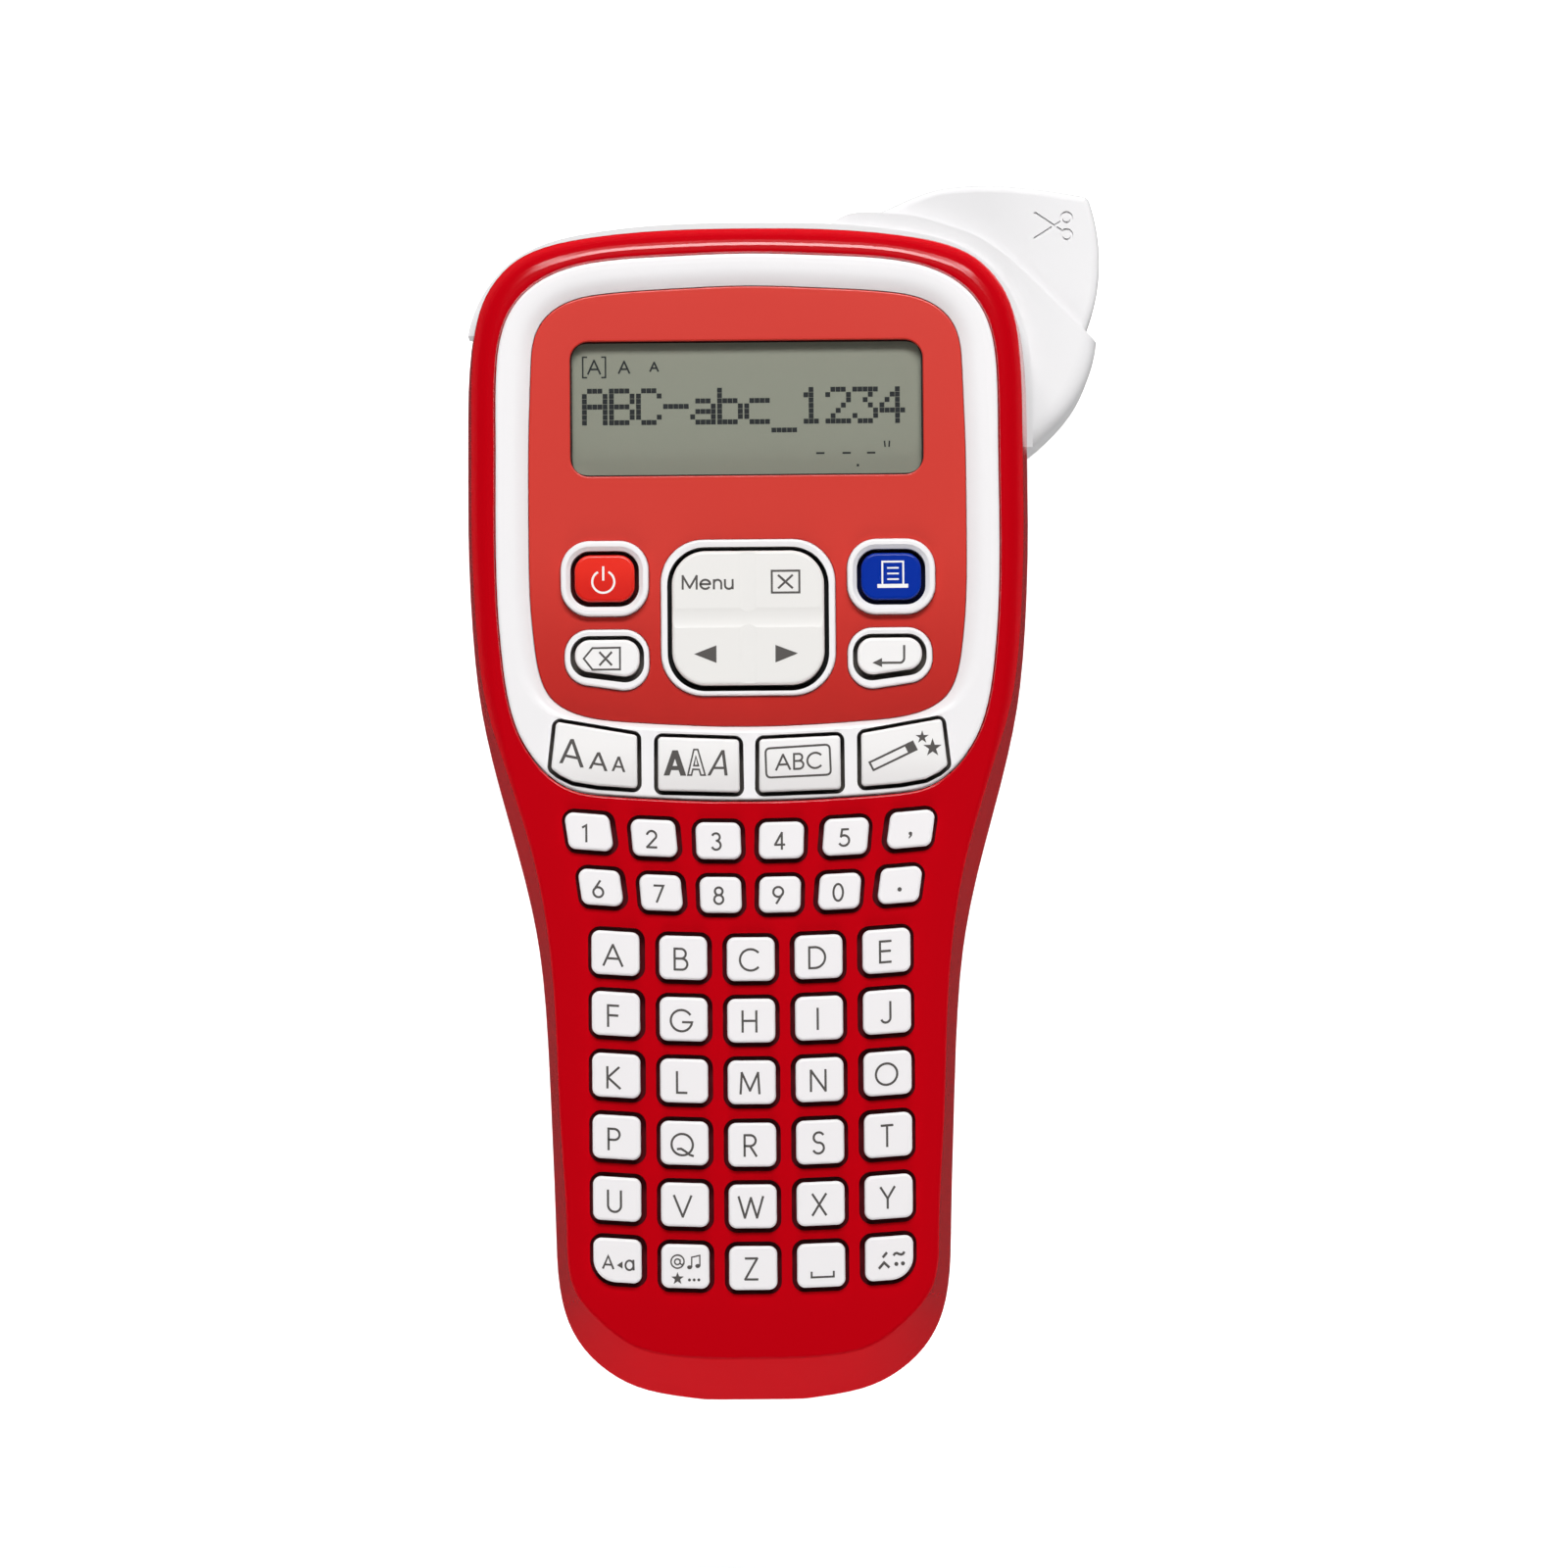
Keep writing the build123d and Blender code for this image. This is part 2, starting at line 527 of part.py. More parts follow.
# ------------------------------------------------------------------ back half: one form, split into case and cover
with BuildPart() as back_form:
    add(outline(body_half, z_part))
    add(outline(moved(body_half, [-a for a in back_inset]), 0, body_half))
    loft()
    with BuildSketch(Plane.YZ.offset(-70)) as under_handle:
        Polygon((-51, -5), (-76, z_handle_back), (-170, z_handle_back), (-170, -5), align=None)
        fillet(under_handle.vertices().sort_by_distance((-76, z_handle_back, 0))[0], 10)
    extrude(amount=140, mode=Mode.SUBTRACT)
    heel = [e for e in back_form.edges().filter_by(Axis.X) if abs(e.center().Z) < 0.01 and e.center().Y < -40]
    fillet(heel, 6)
    # rounded lower edge all the way round
    fillet([e for e in back_form.edges() if e.center().Z < z_handle_back + 0.5 and e.geom_type != GeomType.LINE
            and abs(e.position_at(0).X) + abs(e.position_at(1).X) > 1], 3)

with BuildPart() as back_core:
    add(outline(moved(body_half, -wall), z_part + 0.5, body_half))
    add(outline(moved(body_half, [-a * 31 / 33 - wall for a in back_inset]), wall, body_half))
    loft()
    with BuildSketch(Plane.YZ.offset(-70)):
        Polygon((-51 + 2.83, -5), (-76 + 0.83, z_handle_back + wall), (-170, z_handle_back + wall), (-170, -5), align=None)
    extrude(amount=140, mode=Mode.SUBTRACT)

cover_side = [(80, -10), (80, z_split_cover), (-49, z_split_cover), (-49 - z_split_handle + z_split_cover, z_split_handle),
              (-170, z_split_handle), (-170, -10)]

# ------------------------------------------------------------------ back cover
with BuildPart() as back_cover:
    add(back_form.part)
    with BuildSketch(Plane.YZ.offset(-70)):
        Polygon(*cover_side, align=None)
    extrude(amount=140, mode=Mode.INTERSECT)
    add(back_core.part, mode=Mode.SUBTRACT)
    # tongues that locate the cover inside the rear case
    for x, y, w, h in ((-20, 43.1, 8, 1.2), (4, 43.1, 8, 1.2), (-40.5, 10, 1.2, 10), (-40.1, -15, 1.2, 10), (38.5, -28, 1.2, 8)):
        with BuildSketch(Plane.XY.offset(wall - 0.2)):
            with Locations((x, y)):
                Rectangle(w, h)
        extrude(amount=6.6)
back_cover.part.label = "back_cover"
export_step(back_cover.part, "parts/back_cover.step")

# ------------------------------------------------------------------ rear case with collar, hump and lever guard
guard_top_line = [(13.4, 50.6), (15.0, 52.4), (17.0, 53.5), (19.0, 53.95), (22.7, 53.92), (25.9, 53.64), (30.05, 53.0),
                  (33.1, 52.1), (36.7, 50.9), (39.8, 49.6), (44.75, 46.1), (51.4, 39.7), (58.1, 33.15)]
hump_line = [(13.8, 50.2), (15.3, 51.95), (17.2, 53.05), (19.1, 53.5), (23.0, 53.5)]
guard_side_line = [(58.4, 25.3), (56.2, 21.1), (52.6, 16.8), (48.6, 13.3)]
pocket = [(22.2, 66), (22.2, 40.0), (36, 24), (44.5, 18.6), (50.4, 18.2), (51.6, 18.9), (54.5, 22.4), (56.7, 26.4),
          (58.3, 30.4), (62, 34), (70, 40), (70, 66)]
# form of the lever guard and of the hump that the tape comes out of
with BuildPart() as guard_form:
    with BuildSketch(Plane.XY.offset(guard_bottom)) as guard:
        with BuildLine():
            Spline(*guard_top_line[:10])
            Spline(*guard_top_line[9:])
            Line(guard_top_line[-1], (59.9, 31.4))
            Spline((59.9, 31.4), *guard_side_line)
            Polyline(guard_side_line[-1], (44, 12), (40, 24), (32, 38.5), (20, 39.5), (12.5, 46), guard_top_line[0])
        make_face()
    extrude(amount=guard_top - guard_bottom)
    fillet([e for e in guard_form.edges() if abs(e.center().Z - guard_top) < 0.01 and e.center().X > 50
            and e.center().Y < 29], 3.0)
    with BuildSketch(Plane.XY.offset(z_split_cover + 0.6)):
        with BuildLine():
            Spline(*hump_line)
            Polyline(hump_line[-1], (23.0, 46), (13.8, 46), hump_line[0])
        make_face()
    extrude(amount=guard_bottom - z_split_cover)

with BuildPart() as rear_case:
    add(back_form.part)
    # white collar that shows round the top of the head
    with BuildSketch(Plane.XY.offset(26)):
        with BuildLine():
            Spline(*moved(body_half, 1.0), tangents=((1, 0), (-1, 0)))
            mirror(about=Plane.YZ)
        make_face()
        with Locations((-50, 33 - 100)):
            Rectangle(100, 200, mode=Mode.SUBTRACT)
        with Locations((50, 13.2 - 100)):
            Rectangle(100, 200, mode=Mode.SUBTRACT)
    extrude(amount=z_part - 26)
    add(guard_form.part)
    # hollow, and the lower edge that meets the cover
    add(back_core.part, mode=Mode.SUBTRACT)
    with BuildSketch(Plane.YZ.offset(-70)):
        Polygon(*[(y, z + 0.1 if z > 0 else z) for y, z in cover_side], align=None)
    extrude(amount=140, mode=Mode.SUBTRACT)
    # roof and floor that carry the lever's pin inside the hollow
    for z in (guard_bottom, guard_top - guard_skin):
        with BuildSketch(Plane.XY.offset(z)):
            Polygon((13.4, 50), (13.4, 46), (20, 39.5), (32, 38.5), (40, 24), (44, 14), (47.6, 14), (47.6, 30), (44, 40), (36, 47.4),
                    (24, 50.6), align=None)
        extrude(amount=guard_skin)
    # pocket that the lever turns in
    with BuildSketch(Plane.XY.offset(guard_bottom + guard_skin)):
        Polygon(*pocket, align=None)
    extrude(amount=guard_top - guard_bottom - 2 * guard_skin, mode=Mode.SUBTRACT)
    # tape exit
    with Locations((tape_x, 48, (tape_low + tape_high) / 2)):
        Box(2.8, 24, tape_high - tape_low + 1.2, mode=Mode.SUBTRACT)
    # seats of the lever's pin in floor and roof
    with BuildSketch(Plane.XY.offset(guard_bottom)):
        with Locations((pivot_x, pivot_y)):
            Circle(pin_r + 0.02)
    extrude(amount=guard_top - 0.6 - guard_bottom, mode=Mode.SUBTRACT)
    # screw bosses
    with BuildSketch(Plane.XY.offset(24.5)):
        with Locations(*case_screws_at):
            Circle(3.1)
    extrude(amount=z_part - 24.5)
    with BuildSketch(Plane.XY.offset(24.0)):
        with Locations(*case_screws_at):
            Circle(2.35)
    extrude(amount=2.3, mode=Mode.SUBTRACT)
    with BuildSketch(Plane.XY.offset(24.0)):
        with Locations(*case_screws_at):
            Circle(1.15)
    extrude(amount=12, mode=Mode.SUBTRACT)
    # ribs that hold the battery tray
    for y, half in ((-75.6, 33.9), (-114.4, 31.9)):
        with Locations((0, y, (z_split_handle + 0.1 + z_part) / 2)):
            Box(2 * half, 1.6, z_part - z_split_handle - 0.1)
    # bosses for the chassis plate
    for x, y in plate_screws_at:
        with Locations(((abs(x) + 1.6) * (1 if x > 0 else -1), y, z_plate + plate_thick + 1.8)):
            Box(8.4, 5, 3.6)
    with BuildSketch(Plane.XY.offset(z_plate)):
        with Locations(*plate_screws_at):
            Circle(0.95)
    extrude(amount=4.4, mode=Mode.SUBTRACT)
rear_case.part.label = "rear_case"
export_step(rear_case.part, "parts/rear_case.step")

# ------------------------------------------------------------------ cutter lever, blade, pin, spring, anvil
wing_line = [(23.04, 54.38), (26.76, 56.04), (30.47, 57.54), (33.17, 58.29), (36.54, 58.71), (41.92, 58.87), (46.96, 58.49),
             (52.0, 57.87), (56.37, 57.12)]
wing_start, wing_end = radians(19.4), radians(-25)


def on_lever(a, r=lever_r):
    return (pivot_x + r * cos(a), pivot_y + r * sin(a))


carrier_x0, carrier_x1, carrier_y0, carrier_y1 = 25.3, 29.7, 30.2, 33.4
with BuildPart() as cutter_lever:
    with BuildSketch(Plane.XY.offset(lever_bottom)) as wing:
        with BuildLine():
            Spline(*wing_line, on_lever(wing_start))
            ThreePointArc(on_lever(wing_start), on_lever(radians(-3)), on_lever(wing_end))
            Polyline(on_lever(wing_end), (50, 32.6), (38.5, 38.8), (31.5, 42.4), (23.4, 45), wing_line[0])
        make_face()
        fillet(wing.vertices().sort_by_distance((*on_lever(wing_start), 0))[0], 1.5)
        with Locations((pivot_x, pivot_y)):
            Circle(4.8)
    extrude(amount=lever_top - lever_bottom)
    fillet([e for e in cutter_lever.edges().group_by(Axis.Z)[-1] if e.center().Y > 54 or e.center().X > 57], 1.3)
    # open underside
    with BuildSketch(Plane.XY.offset(lever_bottom - 1)):
        Polygon((31.5, 55.6), (36.8, 56.8), (46.6, 56.6), (55.8, 55.2), (57.9, 50.5), (58.7, 46.5), (58.4, 41), (56.6, 34.2), (51, 34.6),
                (40, 40.4), (35.4, 44.5), (34.0, 50.0), (30, 52.8), align=None)
    extrude(amount=lever_top - 2.2 - lever_bottom + 1, mode=Mode.SUBTRACT)
    # stiffening webs
    for a in (-6, 9):
        with BuildSketch(Plane.XY.offset(lever_bottom + 1.5)):
            with Locations(on_lever(radians(a), 19.5)):
                Rectangle(25.6, 1.4, rotation=a)
        extrude(amount=lever_top - lever_bottom - 3)
    # arm and blade carrier below the pin
    with Locations(((carrier_x0 + carrier_x1) / 2, (carrier_y0 + 43) / 2, (20.2 + 26) / 2)):
        Box(carrier_x1 - carrier_x0, 43 - carrier_y0, 26 - 20.2)
    with Locations(((carrier_x0 + carrier_x1) / 2, (carrier_y0 + carrier_y1) / 2, (4.6 + 26) / 2)):
        Box(carrier_x1 - carrier_x0, carrier_y1 - carrier_y0, 26 - 4.6)
    # room for the return spring, and the bore for the pin
    with BuildSketch(Plane.XY.offset(lever_bottom - 1)):
        with Locations((pivot_x, pivot_y)):
            Circle(4.4)
    extrude(amount=20.2 - lever_bottom + 1, mode=Mode.SUBTRACT)
    with BuildSketch(Plane.XY.offset(lever_bottom - 1)):
        with Locations((pivot_x, pivot_y)):
            Circle(pin_r + 0.06)
    extrude(amount=20, mode=Mode.SUBTRACT)
    # scissors sign sunk into the top
    with BuildSketch(Plane.XY.offset(lever_top - 0.35)):
        for (xa, ya), (xb, yb) in (((49.44, 53.99), (54.2, 50.75)), ((49.39, 49.42), (54.2, 52.45))):
            length = hypot(xb - xa, yb - ya)
            angle = 180 / pi * (1 if yb > ya else -1) * acos((xb - xa) / length)
            with Locations(((xa + xb) / 2, (ya + yb) / 2)):
                SlotOverall(length, 0.5, rotation=angle)
        with Locations((55.0, 53.05), (55.0, 50.1)):
            Circle(1.12)
            Circle(0.66, mode=Mode.SUBTRACT)
    extrude(amount=2, mode=Mode.SUBTRACT)
cutter_lever.part.label = "cutter_lever"
export_step(cutter_lever.part, "parts/cutter_lever.step")

with BuildPart() as cutter_blade:
    with BuildSketch(Plane.XY.offset(4.8)):
        Polygon((22.0, carrier_y1 + 0.25), (22.9, carrier_y1), (carrier_x1, carrier_y1), (carrier_x1, carrier_y1 + 0.5),
                (22.9, carrier_y1 + 0.5), align=None)
    extrude(amount=15.0)
cutter_blade.part.label = "cutter_blade"
export_step(cutter_blade.part, "parts/cutter_blade.step")

with BuildPart() as lever_pin:
    with BuildSketch(Plane.XY.offset(guard_bottom + 0.1)):
        with Locations((pivot_x, pivot_y)):
            Circle(pin_r)
    extrude(amount=guard_top - 0.8 - guard_bottom)
lever_pin.part.label = "lever_pin"
export_step(lever_pin.part, "parts/lever_pin.step")

spring_wire, spring_r = 0.35, 2.9
with BuildPart() as lever_spring:
    with BuildLine(Plane(origin=(pivot_x, pivot_y, guard_bottom + guard_skin + 0.5))) as coil:
        Helix(pitch=0.95, height=2.85, radius=spring_r)
    with BuildSketch(Plane(origin=coil.line @ 0, z_dir=coil.line % 0)):
        Circle(spring_wire)
    sweep(path=coil.line)
    for p, d in ((coil.line @ 0, -1), (coil.line @ 1, 1)):
        with BuildSketch(Plane(origin=p, z_dir=(0, d, 0))):
            Circle(spring_wire)
        extrude(amount=2.6)
lever_spring.part.label = "lever_spring"
export_step(lever_spring.part, "parts/lever_spring.step")

with BuildPart() as cutter_anvil:
    with Locations((16.75, 33.7, (4.6 + z_plate) / 2)):
        Box(2.3, 5.4, z_plate - 4.6)
cutter_anvil.part.label = "cutter_anvil"
export_step(cutter_anvil.part, "parts/cutter_anvil.step")

# ------------------------------------------------------------------ chassis plate and drive
with BuildPart() as chassis_plate:
    with BuildSketch(Plane.XY.offset(z_plate)):
        Polygon((-41.6, -29), (41.6, -29), (41.6, 16), (36, 22), (21.5, 22), (21.5, 28), (18.4, 28), (18.4, 36.8), (15.2, 36.8),
                (15.2, 28), (-36, 28), (-41.6, 20), align=None)
        with Locations((platen_x, platen_y)):
            Circle(1.55, mode=Mode.SUBTRACT)
        with Locations((ribbon_x, ribbon_y)):
            Circle(2.05, mode=Mode.SUBTRACT)
        with Locations((transfer_x, transfer_y)):
            Circle(1.5, mode=Mode.SUBTRACT)
        with Locations((motor_x, motor_y)):
            Circle(2.6, mode=Mode.SUBTRACT)
        with Locations(*plate_screws_at):
            Circle(1.1, mode=Mode.SUBTRACT)
    extrude(amount=plate_thick)
chassis_plate.part.label = "chassis_plate"
export_step(chassis_plate.part, "parts/chassis_plate.step")

with BuildPart() as platen_shaft:
    with BuildSketch(Plane.XY.offset(3.0)):
        with Locations((platen_x, platen_y)):
            Circle(1.5)
    extrude(amount=z_gear_low + low_gear_width - 3.0)
platen_shaft.part.label = "platen_shaft"
export_step(platen_shaft.part, "parts/platen_shaft.step")

with BuildPart() as platen_roller:
    with BuildSketch(Plane.XY.offset(4.6)):
        with Locations((platen_x, platen_y)):
            Circle(platen_r)
            Circle(1.52, mode=Mode.SUBTRACT)
    extrude(amount=14.8)
platen_roller.part.label = "platen_roller"
export_step(platen_roller.part, "parts/platen_roller.step")

platen_turn = 0.0
transfer_turn = meshed(platen_turn, platen_teeth, transfer_dir, small_teeth)
ribbon_turn = meshed(platen_turn, platen_teeth, ribbon_dir, ribbon_teeth)
pinion_turn = meshed(0.0, large_teeth, pinion_dir, pinion_teeth)

with BuildPart() as platen_gear:
    with BuildSketch(Plane.XY.offset(z_gear_low)):
        Polygon(*at(gear_outline(platen_teeth, platen_turn), platen_x, platen_y), align=None)
        with Locations((platen_x, platen_y)):
            Circle(1.52, mode=Mode.SUBTRACT)
    extrude(amount=low_gear_width)
platen_gear.part.label = "platen_gear"
export_step(platen_gear.part, "parts/platen_gear.step")

with BuildPart() as transfer_gear:
    with BuildSketch(Plane.XY.offset(z_gear_low)):
        Polygon(*at(gear_outline(small_teeth, transfer_turn), transfer_x, transfer_y), align=None)
    extrude(amount=z_gear_high - z_gear_low)
    with BuildSketch(Plane.XY.offset(z_gear_high)):
        Polygon(*at(gear_outline(large_teeth, 0.0), transfer_x, transfer_y), align=None)
    extrude(amount=high_gear_width)
    with BuildSketch(Plane.XY.offset(z_gear_low - 1)):
        with Locations((transfer_x, transfer_y)):
            Circle(1.55)
    extrude(amount=10, mode=Mode.SUBTRACT)
transfer_gear.part.label = "transfer_gear"
export_step(transfer_gear.part, "parts/transfer_gear.step")

with BuildPart() as gear_post:
    with BuildSketch(Plane.XY.offset(z_plate)):
        with Locations((transfer_x, transfer_y)):
            Circle(1.5)
    extrude(amount=z_gear_high + high_gear_width + 0.3 - z_plate)
    with BuildSketch(Plane.XY.offset(z_gear_high + high_gear_width + 0.3)):
        with Locations((transfer_x, transfer_y)):
            Circle(2.4)
    extrude(amount=0.5)
gear_post.part.label = "gear_post"
export_step(gear_post.part, "parts/gear_post.step")

with BuildPart() as feed_motor:
    with BuildSketch(Plane.XY.offset(z_plate - motor_length)):
        with Locations((motor_x, motor_y)):
            Circle(motor_r)
    extrude(amount=motor_length)
    with BuildSketch(Plane.XY.offset(z_plate)):
        with Locations((motor_x, motor_y)):
            Circle(2.5)
    extrude(amount=1.4)
    with BuildSketch(Plane.XY.offset(z_plate - motor_length + 3)):
        with Locations((motor_x, motor_y)):
            Circle(1.05)
    extrude(amount=motor_length, mode=Mode.SUBTRACT)
feed_motor.part.label = "feed_motor"
export_step(feed_motor.part, "parts/feed_motor.step")

with BuildPart() as motor_shaft:
    with BuildSketch(Plane.XY.offset(z_plate - motor_length + 3.1)):
        with Locations((motor_x, motor_y)):
            Circle(1.0)
    extrude(amount=z_gear_high + high_gear_width + motor_length - 3.1 - z_plate)
motor_shaft.part.label = "motor_shaft"
export_step(motor_shaft.part, "parts/motor_shaft.step")

with BuildPart() as motor_pinion:
    with BuildSketch(Plane.XY.offset(z_gear_high - 1.5)):
        Polygon(*at(gear_outline(pinion_teeth, pinion_turn), motor_x, motor_y), align=None)
        with Locations((motor_x, motor_y)):
            Circle(1.02, mode=Mode.SUBTRACT)
    extrude(amount=high_gear_width + 1.5)
motor_pinion.part.label = "motor_pinion"
export_step(motor_pinion.part, "parts/motor_pinion.step")

with BuildPart() as ribbon_gear:
    with BuildSketch(Plane.XY.offset(z_gear_low)):
        Polygon(*at(gear_outline(ribbon_teeth, ribbon_turn), ribbon_x, ribbon_y), align=None)
    extrude(amount=low_gear_width)
    with BuildSketch(Plane.XY.offset(5.0)):
        with Locations((ribbon_x, ribbon_y)):
            Circle(2.0)
    extrude(amount=z_gear_low - 5.0)
    # splines that turn the ribbon spool
    with BuildSketch(Plane.XY.offset(5.0)):
        with Locations((ribbon_x, ribbon_y)):
            with PolarLocations(2.1, 6):
                Rectangle(1.2, 0.8)
    extrude(amount=12)
ribbon_gear.part.label = "ribbon_gear"
export_step(ribbon_gear.part, "parts/ribbon_gear.step")

# ------------------------------------------------------------------ print head
with BuildPart() as print_head:
    with Locations((tape_x - tape_thick / 2 - 0.03 - 0.5, platen_y, 12)):
        Box(1.0, 9, 14)
print_head.part.label = "print_head"
export_step(print_head.part, "parts/print_head.step")

with BuildPart() as head_heat_sink:
    with Locations((tape_x - tape_thick / 2 - 0.03 - 1.0 - 0.8, platen_y, (4.6 + z_plate) / 2)):
        Box(1.6, 13, z_plate - 4.6)
    with Locations((tape_x - tape_thick / 2 - 0.03 - 1.0 - 2.0, platen_y, z_plate - 0.6)):
        Box(4.0, 13, 1.2)
head_heat_sink.part.label = "head_heat_sink"
export_step(head_heat_sink.part, "parts/head_heat_sink.step")

# ------------------------------------------------------------------ tape cassette
cassette_plan = [(-36, -33), (22, -33), (22, -4), (15, -4), (15, 29), (10, 34), (-30, 34), (-36, 28)]
cassette_inner = [(-34.8, -31.8), (17.0, -31.8), (17.0, -5.2), (13.8, -5.2), (13.8, 28.5), (9.5, 32.8), (-29.5, 32.8), (-34.8, 27.5)]
z_cassette, cassette_high = 4.2, 15.4
z_lid = z_cassette + 12.6
with BuildPart() as cassette_case:
    with BuildSketch(Plane.XY.offset(z_cassette)):
        Polygon(*cassette_plan, align=None)
    extrude(amount=z_lid - z_cassette)
    with BuildSketch(Plane.XY.offset(z_cassette + 1.0)):
        Polygon(*cassette_inner, align=None)
    extrude(amount=20, mode=Mode.SUBTRACT)
    with BuildSketch(Plane.XY.offset(z_cassette)):
        with Locations((reel_x, reel_y)):
            Circle(3.0)
    extrude(amount=z_lid - z_cassette)
    with BuildSketch(Plane.XY.offset(z_cassette - 1)):
        with Locations((ribbon_x, ribbon_y)):
            Circle(3.4)
    extrude(amount=20, mode=Mode.SUBTRACT)
    # way out for the tape
    with Locations((tape_x, -8, z_lid)):
        Box(0.6, 12, 30, mode=Mode.SUBTRACT)
cassette_case.part.label = "cassette_case"
export_step(cassette_case.part, "parts/cassette_case.step")

with BuildPart() as cassette_lid:
    with BuildSketch(Plane.XY.offset(z_lid)):
        Polygon(*cassette_plan, align=None)
        with Locations((ribbon_x, ribbon_y)):
            Circle(3.4, mode=Mode.SUBTRACT)
    extrude(amount=z_cassette + cassette_high - z_lid)
    with BuildSketch(Plane.XY.offset(z_lid)):
        Polygon(*cassette_inner, align=None)
    extrude(amount=z_cassette + cassette_high - z_lid - 1.0, mode=Mode.SUBTRACT)
    with Locations((tape_x, -8, z_lid)):
        Box(0.6, 12, 3.0, mode=Mode.SUBTRACT)
cassette_lid.part.label = "cassette_lid"
export_step(cassette_lid.part, "parts/cassette_lid.step")

with BuildPart() as tape_core:
    with BuildSketch(Plane.XY.offset(5.6)):
        with Locations((reel_x, reel_y)):
            Circle(7.0)
            Circle(3.06, mode=Mode.SUBTRACT)
    extrude(amount=12.6)
tape_core.part.label = "tape_core"
export_step(tape_core.part, "parts/tape_core.step")

with BuildPart() as tape_roll:
    with BuildSketch(Plane.XY.offset(tape_low)):
        with Locations((reel_x, reel_y)):
            Circle(reel_r)
            Circle(7.0, mode=Mode.SUBTRACT)
    extrude(amount=tape_high - tape_low)
tape_roll.part.label = "tape_roll"
export_step(tape_roll.part, "parts/tape_roll.step")

with BuildPart() as ribbon_spool:
    with BuildSketch(Plane.XY.offset(5.6)):
        with Locations((ribbon_x, ribbon_y)):
            Circle(5.2)
            Circle(3.0, mode=Mode.SUBTRACT)
            with PolarLocations(2.95, 6, start_angle=30):
                Rectangle(0.9, 0.7)
    extrude(amount=12.4)
ribbon_spool.part.label = "ribbon_spool"
export_step(ribbon_spool.part, "parts/ribbon_spool.step")

with BuildPart() as label_tape:
    with Locations((tape_x, (-12 + 32.4) / 2, (tape_low + tape_high) / 2)):
        Box(tape_thick, 44.4, tape_high - tape_low)
label_tape.part.label = "label_tape"
export_step(label_tape.part, "parts/label_tape.step")

# ------------------------------------------------------------------ batteries
tray_x, tray_y0, tray_y1 = 27.4, -113.5, -76.5
with BuildPart() as battery_tray:
    with Locations((0, (tray_y0 + tray_y1) / 2, 22.1)):
        Box(2 * tray_x, tray_y1 - tray_y0, 44.4 - 22.1, align=(Align.CENTER, Align.CENTER, Align.MIN))
    with Locations((0, (tray_y0 + tray_y1) / 2, 22.0)):
        Box(2 * tray_x - 2.4, tray_y1 - tray_y0 - 2.4, 43.6 - 22.0, align=(Align.CENTER, Align.CENTER, Align.MIN), mode=Mode.SUBTRACT)
battery_tray.part.label = "battery_tray"
export_step(battery_tray.part, "parts/battery_tray.step")

with BuildPart() as batteries:
    for j, y in enumerate(cell_rows):
        for k, z in enumerate(cell_layers):
            s = 1 if (j + k) % 2 else -1
            with BuildSketch(Plane(origin=(-s * cell_length / 2, y, z), z_dir=(s, 0, 0))):
                Circle(cell_r)
            extrude(amount=cell_length - 1.0)
            with BuildSketch(Plane(origin=(s * (cell_length / 2 - 1.0), y, z), z_dir=(s, 0, 0))):
                Circle(1.9)
            extrude(amount=1.0)
batteries.part.label = "batteries"
export_step(batteries.part, "parts/batteries.step")

with BuildPart() as battery_contacts:
    for y in cell_rows:
        for z in cell_layers:
            for s in (-1, 1):
                with Locations((s * (tray_x - 1.2 - 0.2), y, z)):
                    Box(0.4, 8.4, 8.4)
                with BuildSketch(Plane(origin=(s * cell_length / 2, y, z), z_dir=(s, 0, 0))):
                    Circle(1.7)
                extrude(amount=tray_x - 1.4 - cell_length / 2)
battery_contacts.part.label = "battery_contacts"
export_step(battery_contacts.part, "parts/battery_contacts.step")

# ------------------------------------------------------------------ screws
with BuildPart() as case_screws:
    with BuildSketch(Plane.XY.offset(24.7)):
        with Locations(*case_screws_at):
            Circle(2.15)
    extrude(amount=1.6)
    with BuildSketch(Plane.XY.offset(26.2)):
        with Locations(*case_screws_at):
            Circle(1.0)
    extrude(amount=11)
    with BuildSketch(Plane.XY.offset(24.7)):
        for p in case_screws_at:
            with Locations(p):
                Rectangle(2.6, 0.6)
                Rectangle(0.6, 2.6)
    extrude(amount=0.8, mode=Mode.SUBTRACT)
case_screws.part.label = "case_screws"
export_step(case_screws.part, "parts/case_screws.step")

with BuildPart() as chassis_screws:
    with BuildSketch(Plane.XY.offset(z_plate - 1.2)):
        with Locations(*plate_screws_at):
            Circle(1.8)
    extrude(amount=1.2)
    with BuildSketch(Plane.XY.offset(z_plate - 0.1)):
        with Locations(*plate_screws_at):
            Circle(0.9)
    extrude(amount=4.2)
chassis_screws.part.label = "chassis_screws"
export_step(chassis_screws.part, "parts/chassis_screws.step")
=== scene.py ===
import json
import math

import bpy
from mathutils import Matrix, Vector


